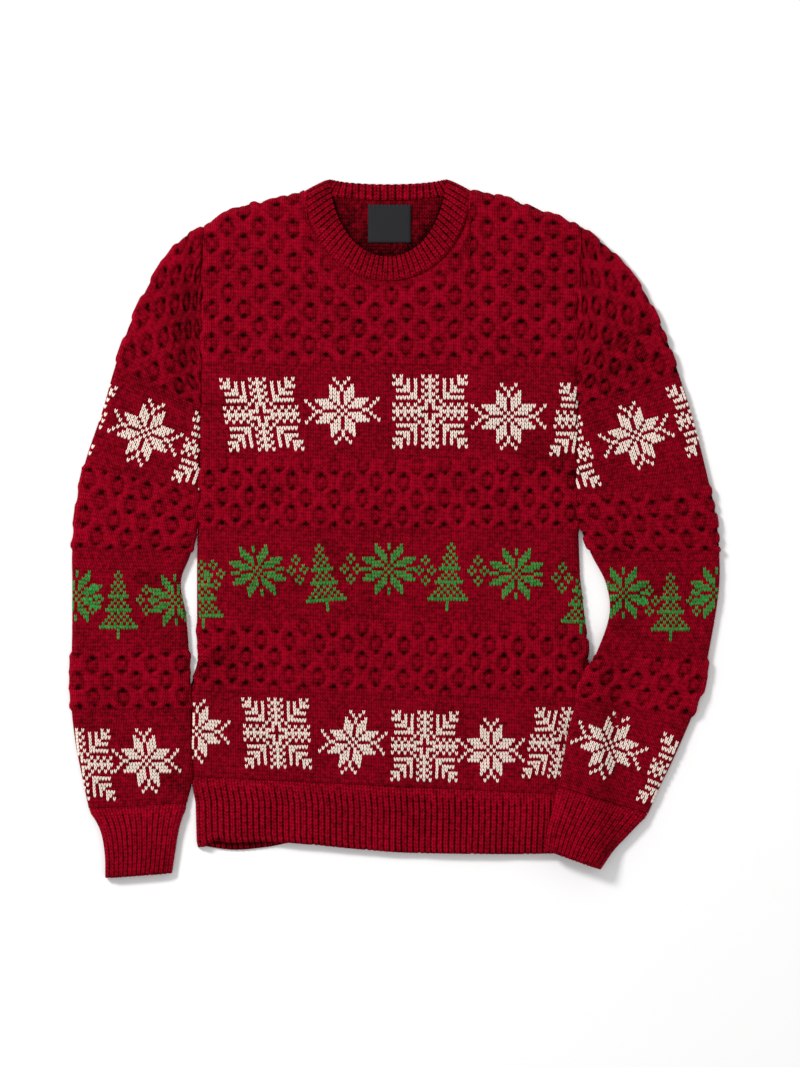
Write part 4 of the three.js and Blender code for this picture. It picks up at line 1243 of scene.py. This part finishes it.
def stitch_shape():
    """Points of the two legs: across and along in stitches, and up in mm, and the faces between them."""
    points = []
    faces = []
    for side in (-1, 1):
        across = side * LEG_OUT[:, None] + LEG_HALF[:, None] * RING_SIDE[None, :]
        along = np.repeat(LEG_ALONG[:, None], 4, axis=1)
        high = np.where(RING_HIGH[None, :] > 0, LEG_HIGH[:, None] * RING_HIGH[None, :], RING_HIGH[None, :])
        faces += [tuple(len(points) * 16 + number for number in face) for face in LEG_FACES]
        points.append(np.stack([across, along, high], -1).reshape(-1, 3))
    return np.concatenate(points), np.array(faces)


STITCH_POINTS, STITCH_FACES = stitch_shape()
print("a stitch has", len(STITCH_POINTS), "points and", len(STITCH_FACES), "faces")

# %% Lay the stitches on the cloth
from mathutils.bvhtree import BVHTree

RAY_FROM = 0.2
STEEPEST = 0.42
SUNK = 0.25
YARN_JITTER = 0.06


def places_in(patterns, wide, tall):
    """The middle of every stitch in a band and the turn of its row, in mm and radians."""
    spots = []
    for name, x, y, turn, lean in patterns:
        turn = math.radians(turn)
        slant = math.tan(math.radians(lean))
        for column, row in PATTERNS[name]:
            across = column * wide - slant * row * tall
            along = row * tall
            spots.append((
                x + across * math.cos(turn) - along * math.sin(turn),
                y + across * math.sin(turn) + along * math.cos(turn),
                turn,
            ))
    return spots


def lay_stitches(name, bands, skipped):
    """Makes one object of all the stitches of one yarn on one piece of cloth."""
    cloth = bands[0][0]
    tree = BVHTree.FromPolygons([v.co for v in cloth.data.vertices], [p.vertices for p in cloth.data.polygons])
    points = []
    faces = []
    for _, _, patterns, wide, tall in bands:
        for x, y, turn in places_in(patterns, wide, tall):
            start = Vector(((x + shift_x) * MM, (y + shift_y) * MM, RAY_FROM))
            hit, up, _, _ = tree.ray_cast(start, Vector((0, 0, -1)))
            if hit is None or up.z < STEEPEST:
                skipped.append(name)
                continue
            across = Vector((math.cos(turn), math.sin(turn), 0))
            across = (across - across.dot(up) * up).normalized()
            along = up.cross(across)
            drift = YARN_JITTER * math.sin(x * 1.7 + y * 2.3)
            local = STITCH_POINTS * np.array([wide, tall, 1]) + np.array([drift * wide, drift * tall, -SUNK])
            middle = np.array([hit.x, hit.y, hit.z]) / MM - np.array([shift_x, shift_y, 0])
            faces.append(STITCH_FACES + len(points) * len(STITCH_POINTS))
            points.append(middle + local @ np.array([across, along, up]))
    count = len(points)
    points = np.concatenate(points)
    # Painted shade and highlight: the part of each stitch sunk in the cloth is dark, its legs lighter the higher they
    # stand.
    relief = np.tile(np.where(STITCH_POINTS[:, 2] > 0, 0.5 + 0.3 * STITCH_POINTS[:, 2], 0.15), count)
    piece = new_mesh(name, points, np.concatenate(faces), np.zeros((len(points), 3)), relief)
    print(name, "has", count, "stitches")
    return piece


off_cloth = []
front_cream = lay_stitches("stitches_front_cream", [b for b in BANDS if b[0] == front and b[1] == "cream"], off_cloth)
front_green = lay_stitches("stitches_front_green", [b for b in BANDS if b[0] == front and b[1] == "green"], off_cloth)
left_cream = lay_stitches("stitches_left_cream", [b for b in BANDS if b[0] == sleeve_left and b[1] == "cream"], off_cloth)
left_green = lay_stitches("stitches_left_green", [b for b in BANDS if b[0] == sleeve_left and b[1] == "green"], off_cloth)
right_cream = lay_stitches("stitches_right_cream", [b for b in BANDS if b[0] == sleeve_right and b[1] == "cream"], off_cloth)
right_green = lay_stitches("stitches_right_green", [b for b in BANDS if b[0] == sleeve_right and b[1] == "green"], off_cloth)
CREAM = [front_cream, left_cream, right_cream]
GREEN = [front_green, left_green, right_green]
print(len(off_cloth), "stitches fell off the edge of their cloth")

# %% [markdown]
# ## Neck label
# Inside the collar is a small woven label. It is plain, with only the row of stitches that holds its upper edge,
# so that the part can stand for any sweater.

# %% Make the label
LABEL_WIDE = 43.0
LABEL_LONG = 38.0
LABEL_THICK = 0.7
LABEL_X = -4.5
LABEL_TOP = 323.0
LABEL_COLUMNS = 24
LABEL_ROWS = 22
THREAD_COUNT = 11


def make_label():
    across = np.linspace(-0.5, 0.5, LABEL_COLUMNS)[None, :]
    down = np.linspace(1, 0, LABEL_ROWS)[:, None]
    x = LABEL_X + across * LABEL_WIDE + 0 * down
    y = LABEL_TOP - down * LABEL_LONG + 0 * across
    low = WALL + SEAM
    curl = 0.5 * smooth((down - 0.6) / 0.4) * (0.5 + np.abs(across)) + 0.15 * np.sin(5 * across + 3 * down)
    rim = 0.3 * (1 - rise((0.5 - np.abs(across)) * LABEL_WIDE, 0.8))
    outer = np.stack([x, y, low + LABEL_THICK + np.maximum(curl, -0.1) - rim], -1)
    inner = outer.copy()
    inner[..., 2] = low + np.maximum(curl, -0.1)
    return closed_wall("neck_label_cloth", outer, inner, stitch_count(x, y, 0.5, 0.5), np.full_like(x, 0.5))


def make_label_thread():
    points = []
    faces = []
    for number in range(THREAD_COUNT):
        x = LABEL_X + (number / (THREAD_COUNT - 1) - 0.5) * (LABEL_WIDE - 3)
        y = LABEL_TOP - 1.2
        high = WALL + SEAM + LABEL_THICK + 0.1
        local = STITCH_POINTS[:16] * np.array([2.2, 2.6, 0.35]) + np.array([0.4, 0, 0])
        faces += [tuple(np.array(face) + len(points) * 16) for face in LEG_FACES]
        points.append(np.array([x, y, high]) + local)
    points = np.concatenate(points)
    return new_mesh("neck_label_thread", points, np.array(faces, dtype=object), np.zeros((len(points), 3)), np.full(len(points), 0.4))


label = make_label()
label_thread = make_label_thread()
KNITTED = [front, sleeve_left, sleeve_right, cuff_left, cuff_right, front_hem, back_hem, back, neckband]

# %% [markdown]
# ## Wool
# Wool is matt. What makes it look soft is a faint bright fringe of fibres at grazing angles, called sheen, and
# tiny changes of colour from yarn to yarn. One recipe makes every wool here, given its colours.
# The relief kept on each point is painted shade and painted highlight: it darkens the pits and lightens the
# ridges, as the shadows between the fibres and the light on the crests do. The small stitches are a bump worked
# out from the count of stitches, and no image.

# %% Node helpers
def add_node(tree, kind, **settings):
    node = tree.nodes.new(kind)
    for name, value in settings.items():
        setattr(node, name, value)
    return node


def feed(tree, socket, value):
    if hasattr(value, "links"):
        tree.links.new(value, socket)
    else:
        socket.default_value = value


def calculate(tree, operation, *values):
    node = add_node(tree, "ShaderNodeMath", operation=operation)
    for socket, value in zip(node.inputs, values):
        feed(tree, socket, value)
    return node.outputs[0]


def noise(tree, place, scale, detail):
    node = add_node(tree, "ShaderNodeTexNoise")
    feed(tree, node.inputs["Vector"], place)
    node.inputs["Scale"].default_value = scale
    node.inputs["Detail"].default_value = detail
    return node.outputs["Fac"]


def ramp(tree, share, stops):
    node = add_node(tree, "ShaderNodeValToRGB")
    feed(tree, node.inputs["Fac"], share)
    first, last = node.color_ramp.elements
    first.position, first.color = stops[0][0], (*stops[0][1], 1)
    last.position, last.color = stops[-1][0], (*stops[-1][1], 1)
    for place, colour in stops[1:-1]:
        stop = node.color_ramp.elements.new(place)
        stop.color = (*colour, 1)
    return node.outputs["Color"]


print("materials are built from nodes only")

# %% [markdown]
# A stocking stitch is a column of small V shapes, each with two legs that lean outward. Across a column the
# bump is two rounded bars, and along it the bars are cut by slanting lines, one for each course of knitting.

# %% Bump of the small stitches
def stitch_bump(tree, counted):
    split = add_node(tree, "ShaderNodeSeparateXYZ")
    feed(tree, split.inputs[0], counted)
    column = calculate(tree, "FRACT", split.outputs["X"])
    from_middle = calculate(tree, "ABSOLUTE", calculate(tree, "SUBTRACT", column, 0.5))
    from_leg = calculate(tree, "ABSOLUTE", calculate(tree, "SUBTRACT", from_middle, 0.25))
    bar = calculate(tree, "SUBTRACT", 1.0, calculate(tree, "POWER", calculate(tree, "MULTIPLY", from_leg, 4.0), 2.0))
    lean = calculate(tree, "MULTIPLY", from_middle, 1.5)
    course = calculate(tree, "SUBTRACT", split.outputs["Y"], lean)
    cut = calculate(tree, "ABSOLUTE", calculate(tree, "SINE", calculate(tree, "MULTIPLY", course, math.pi)))
    return calculate(tree, "MULTIPLY", bar, calculate(tree, "POWER", cut, 0.6))


def wool(name, dark, middle, bright, fleck, sheen, stitches):
    material = bpy.data.materials.new(name)
    material.use_nodes = True
    tree = material.node_tree
    shader = tree.nodes["Principled BSDF"]
    place = add_node(tree, "ShaderNodeTexCoord").outputs["Object"]
    # relief carries each point's painted shade: darker in pits and valleys, lighter on ridges.
    relief = add_node(tree, "ShaderNodeAttribute", attribute_name="relief").outputs["Fac"]
    counted = add_node(tree, "ShaderNodeAttribute", attribute_name="stitch").outputs["Vector"]
    yarn = noise(tree, place, 260, 3)
    patches = noise(tree, place, 22, 2)
    drift = calculate(tree, "MULTIPLY", calculate(tree, "SUBTRACT", yarn, 0.5), 1.4)
    drift = calculate(tree, "ADD", drift, calculate(tree, "MULTIPLY", calculate(tree, "SUBTRACT", patches, 0.5), 0.35))
    small = stitch_bump(tree, counted)
    # Painted shade and highlight of the small stitches: their legs lighter, the gaps between them darker.
    if stitches:
        drift = calculate(tree, "ADD", drift, calculate(tree, "MULTIPLY", calculate(tree, "SUBTRACT", small, 0.55), 0.55))
    share = calculate(tree, "ADD", relief, drift)
    # The ramp runs from the wool in painted shade to the wool in painted highlight, moved also by the yarn's own tone.
    colour = ramp(tree, share, ((0.0, dark), (0.5, middle), (1.0, bright)))
    fibres = noise(tree, place, 1400, 2)
    spots = calculate(tree, "GREATER_THAN", noise(tree, place, 620, 1), 0.70)
    mixed = add_node(tree, "ShaderNodeMix", data_type="RGBA")
    feed(tree, mixed.inputs["Factor"], calculate(tree, "MULTIPLY", spots, 0.35))
    feed(tree, mixed.inputs[6], colour)
    mixed.inputs[7].default_value = (*fleck, 1)
    feed(tree, shader.inputs["Base Color"], mixed.outputs[2])
    shader.inputs["Roughness"].default_value = 0.92
    shader.inputs["Specular IOR Level"].default_value = 0.03
    shader.inputs["Sheen Weight"].default_value = sheen
    shader.inputs["Sheen Roughness"].default_value = 0.55
    shader.inputs["Sheen Tint"].default_value = (*fleck, 1)
    fine = add_node(tree, "ShaderNodeBump")
    fine.inputs["Strength"].default_value = 0.5
    fine.inputs["Distance"].default_value = 0.0003
    feed(tree, fine.inputs["Height"], calculate(tree, "ADD", fibres, yarn))
    normal = fine.outputs[0]
    if stitches:
        coarse = add_node(tree, "ShaderNodeBump")
        coarse.inputs["Strength"].default_value = 0.9
        coarse.inputs["Distance"].default_value = 0.0013
        feed(tree, coarse.inputs["Height"], small)
        feed(tree, coarse.inputs["Normal"], normal)
        normal = coarse.outputs[0]
    feed(tree, shader.inputs["Normal"], normal)
    return material


# Each wool's dark colour is the wool in painted shade and its bright colour the wool in painted highlight.
CRIMSON_DARK = (0.018, 0.0, 0.0006)
CRIMSON_MIDDLE = (0.185, 0.0004, 0.006)
CRIMSON_BRIGHT = (0.40, 0.001, 0.017)
CRIMSON_FLECK = (0.50, 0.01, 0.035)
crimson = wool("crimson wool", CRIMSON_DARK, CRIMSON_MIDDLE, CRIMSON_BRIGHT, CRIMSON_FLECK, 0.05, True)
print("made", crimson.name)

# Cream and green likewise: dark is painted shade, bright is painted highlight.
cream = wool("cream wool", (0.45, 0.31, 0.25), (0.81, 0.70, 0.61), (0.91, 0.82, 0.74), (0.95, 0.88, 0.80), 0.12, False)
green = wool("green wool", (0.003, 0.05, 0.010), (0.009, 0.18, 0.032), (0.035, 0.34, 0.07), (0.20, 0.44, 0.11), 0.03, False)

# %% [markdown]
# The label is woven satin: fine, flat and a little shiny. Two crossed waves give its weave.

# %% Woven label cloth
def woven(name, colour):
    material = bpy.data.materials.new(name)
    material.use_nodes = True
    tree = material.node_tree
    shader = tree.nodes["Principled BSDF"]
    place = add_node(tree, "ShaderNodeTexCoord").outputs["Object"]
    split = add_node(tree, "ShaderNodeSeparateXYZ")
    feed(tree, split.inputs[0], place)
    threads = 2 * math.pi / (0.45 * MM)
    across = calculate(tree, "SINE", calculate(tree, "MULTIPLY", split.outputs["X"], threads))
    along = calculate(tree, "SINE", calculate(tree, "MULTIPLY", split.outputs["Y"], threads * 1.6))
    weave = calculate(tree, "MULTIPLY", across, along)
    bump = add_node(tree, "ShaderNodeBump")
    bump.inputs["Strength"].default_value = 0.4
    bump.inputs["Distance"].default_value = 0.0001
    feed(tree, bump.inputs["Height"], weave)
    feed(tree, shader.inputs["Normal"], bump.outputs[0])
    shade = calculate(tree, "ADD", 0.5, calculate(tree, "MULTIPLY", weave, 0.2))
    dark = tuple(0.75 * part for part in colour)
    light = tuple(1.3 * part for part in colour)
    feed(tree, shader.inputs["Base Color"], ramp(tree, shade, ((0.2, dark), (0.5, colour), (0.9, light))))
    shader.inputs["Roughness"].default_value = 0.6
    shader.inputs["Specular IOR Level"].default_value = 0.2
    return material


label_cloth = woven("label cloth", (0.0085, 0.0088, 0.0105))
label_yarn = woven("label yarn", (0.025, 0.027, 0.03))

# %% Dress the pieces
for piece in KNITTED:
    piece.data.materials.append(crimson)
for piece in CREAM:
    piece.data.materials.append(cream)
for piece in GREEN:
    piece.data.materials.append(green)
label.data.materials.append(label_cloth)
label_thread.data.materials.append(label_yarn)

# %% [markdown]
# ## Floor, light and camera
# The photo is a flat lay on white: a large soft light from the upper left, a bright surround and a pale, soft
# shadow at the lower right. The camera looks straight down from far away, so that the sides don't lean.

# %% Floor
FLOOR_SIZE = 6.0
floor_mesh = bpy.data.meshes.new("floor")
half = FLOOR_SIZE / 2
floor_mesh.from_pydata([(-half, -half, -0.0005), (half, -half, -0.0005), (half, half, -0.0005), (-half, half, -0.0005)], [], [(0, 1, 2, 3)])
floor = bpy.data.objects.new("floor", floor_mesh)
bpy.context.scene.collection.objects.link(floor)
paper = bpy.data.materials.new("white paper")
paper.use_nodes = True
paper.node_tree.nodes["Principled BSDF"].inputs["Base Color"].default_value = (0.9, 0.9, 0.9, 1)
paper.node_tree.nodes["Principled BSDF"].inputs["Roughness"].default_value = 0.9
floor_mesh.materials.append(paper)

# %% Lights
def area_light(name, place, size, power, colour):
    data = bpy.data.lights.new(name, "AREA")
    data.shape = "SQUARE"
    data.size = size
    data.energy = power
    data.color = colour
    light = bpy.data.objects.new(name, data)
    light.location = place
    light.rotation_euler = (Vector((0, 0, 0)) - Vector(place)).to_track_quat("-Z", "Y").to_euler()
    bpy.context.scene.collection.objects.link(light)
    return light


area_light("window", (-1.9, 1.6, 2.4), 0.7, 95, (1.0, 0.99, 0.98))
area_light("soft fill", (0.6, -0.2, 3.0), 3.0, 12, (1.0, 1.0, 1.0))
world = bpy.data.worlds.new("surround")
world.use_nodes = True
world.node_tree.nodes["Background"].inputs["Color"].default_value = (1, 1, 1, 1)
world.node_tree.nodes["Background"].inputs["Strength"].default_value = 0.60
bpy.context.scene.world = world
bpy.context.scene.view_settings.view_transform = "Standard"

# %% Camera
PHOTO_TALL = 1.067
CAMERA_HIGH = 5.0
camera_data = bpy.data.cameras.new("camera")
camera_data.sensor_fit = "VERTICAL"
camera_data.sensor_height = 24.0
camera_data.lens = camera_data.sensor_height * CAMERA_HIGH / PHOTO_TALL
camera = bpy.data.objects.new("camera", camera_data)
camera.location = ((6.0 + shift_x) * MM, (-5.5 + shift_y) * MM, CAMERA_HIGH)
bpy.context.scene.collection.objects.link(camera)
bpy.context.scene.camera = camera

# %% [markdown]
# ## Cloth
# Each piece of cloth was knitted flat or as a tube before it was laid down. Its size then is what a tool needs
# to know to treat it as cloth: the width and length it was knitted to, and its area where it isn't a rectangle.
# A tube counts all round.

# %% Sizes the cloth was knitted to
SHEETS = (
    # piece, width, length and area in metres, what it lies on, what is worked into it
    (front, 0.40, 0.60, 0.214, [back, back_hem], [front_cream, front_green]),
    (back, 0.40, 0.60, 0.222, ["floor"], []),
    (front_hem, 0.393, 0.066, 0.0259, [back_hem], []),
    (back_hem, 0.385, 0.066, 0.0254, ["floor"], []),
    (sleeve_left, 0.243, 0.556, 0.1194, ["floor"], [left_cream, left_green]),
    (sleeve_right, 0.273, 0.560, 0.1240, ["floor", front, front_hem], [right_cream, right_green]),
    (cuff_left, 0.195, 0.069, 0.0106, ["floor"], []),
    (cuff_right, 0.187, 0.066, 0.0100, ["floor", front_hem], []),
    (neckband, 0.434, 0.024, 0.0092, [back], []),
    (label, 0.043, 0.038, 0.00163, [back], [label_thread]),
)
for piece, wide, long, area, under, worked in SHEETS:
    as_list(under)
    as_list(worked)
print("cloth all together:", round(sum(row[3] for row in SHEETS), 3), "square metres")

# %% Ride on the body, and finish
for piece in KNITTED + CREAM + GREEN:
    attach(piece, "root")
for piece in (label, label_thread):
    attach(piece, "root")
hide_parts("neck_label")
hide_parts("front_panel")
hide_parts("sleeve_left")
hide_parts("sleeve_right")
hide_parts("cuff_left")
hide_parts("cuff_right")
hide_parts("front_hem")
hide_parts("back_hem")
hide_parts("back_panel")
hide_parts("neckband")
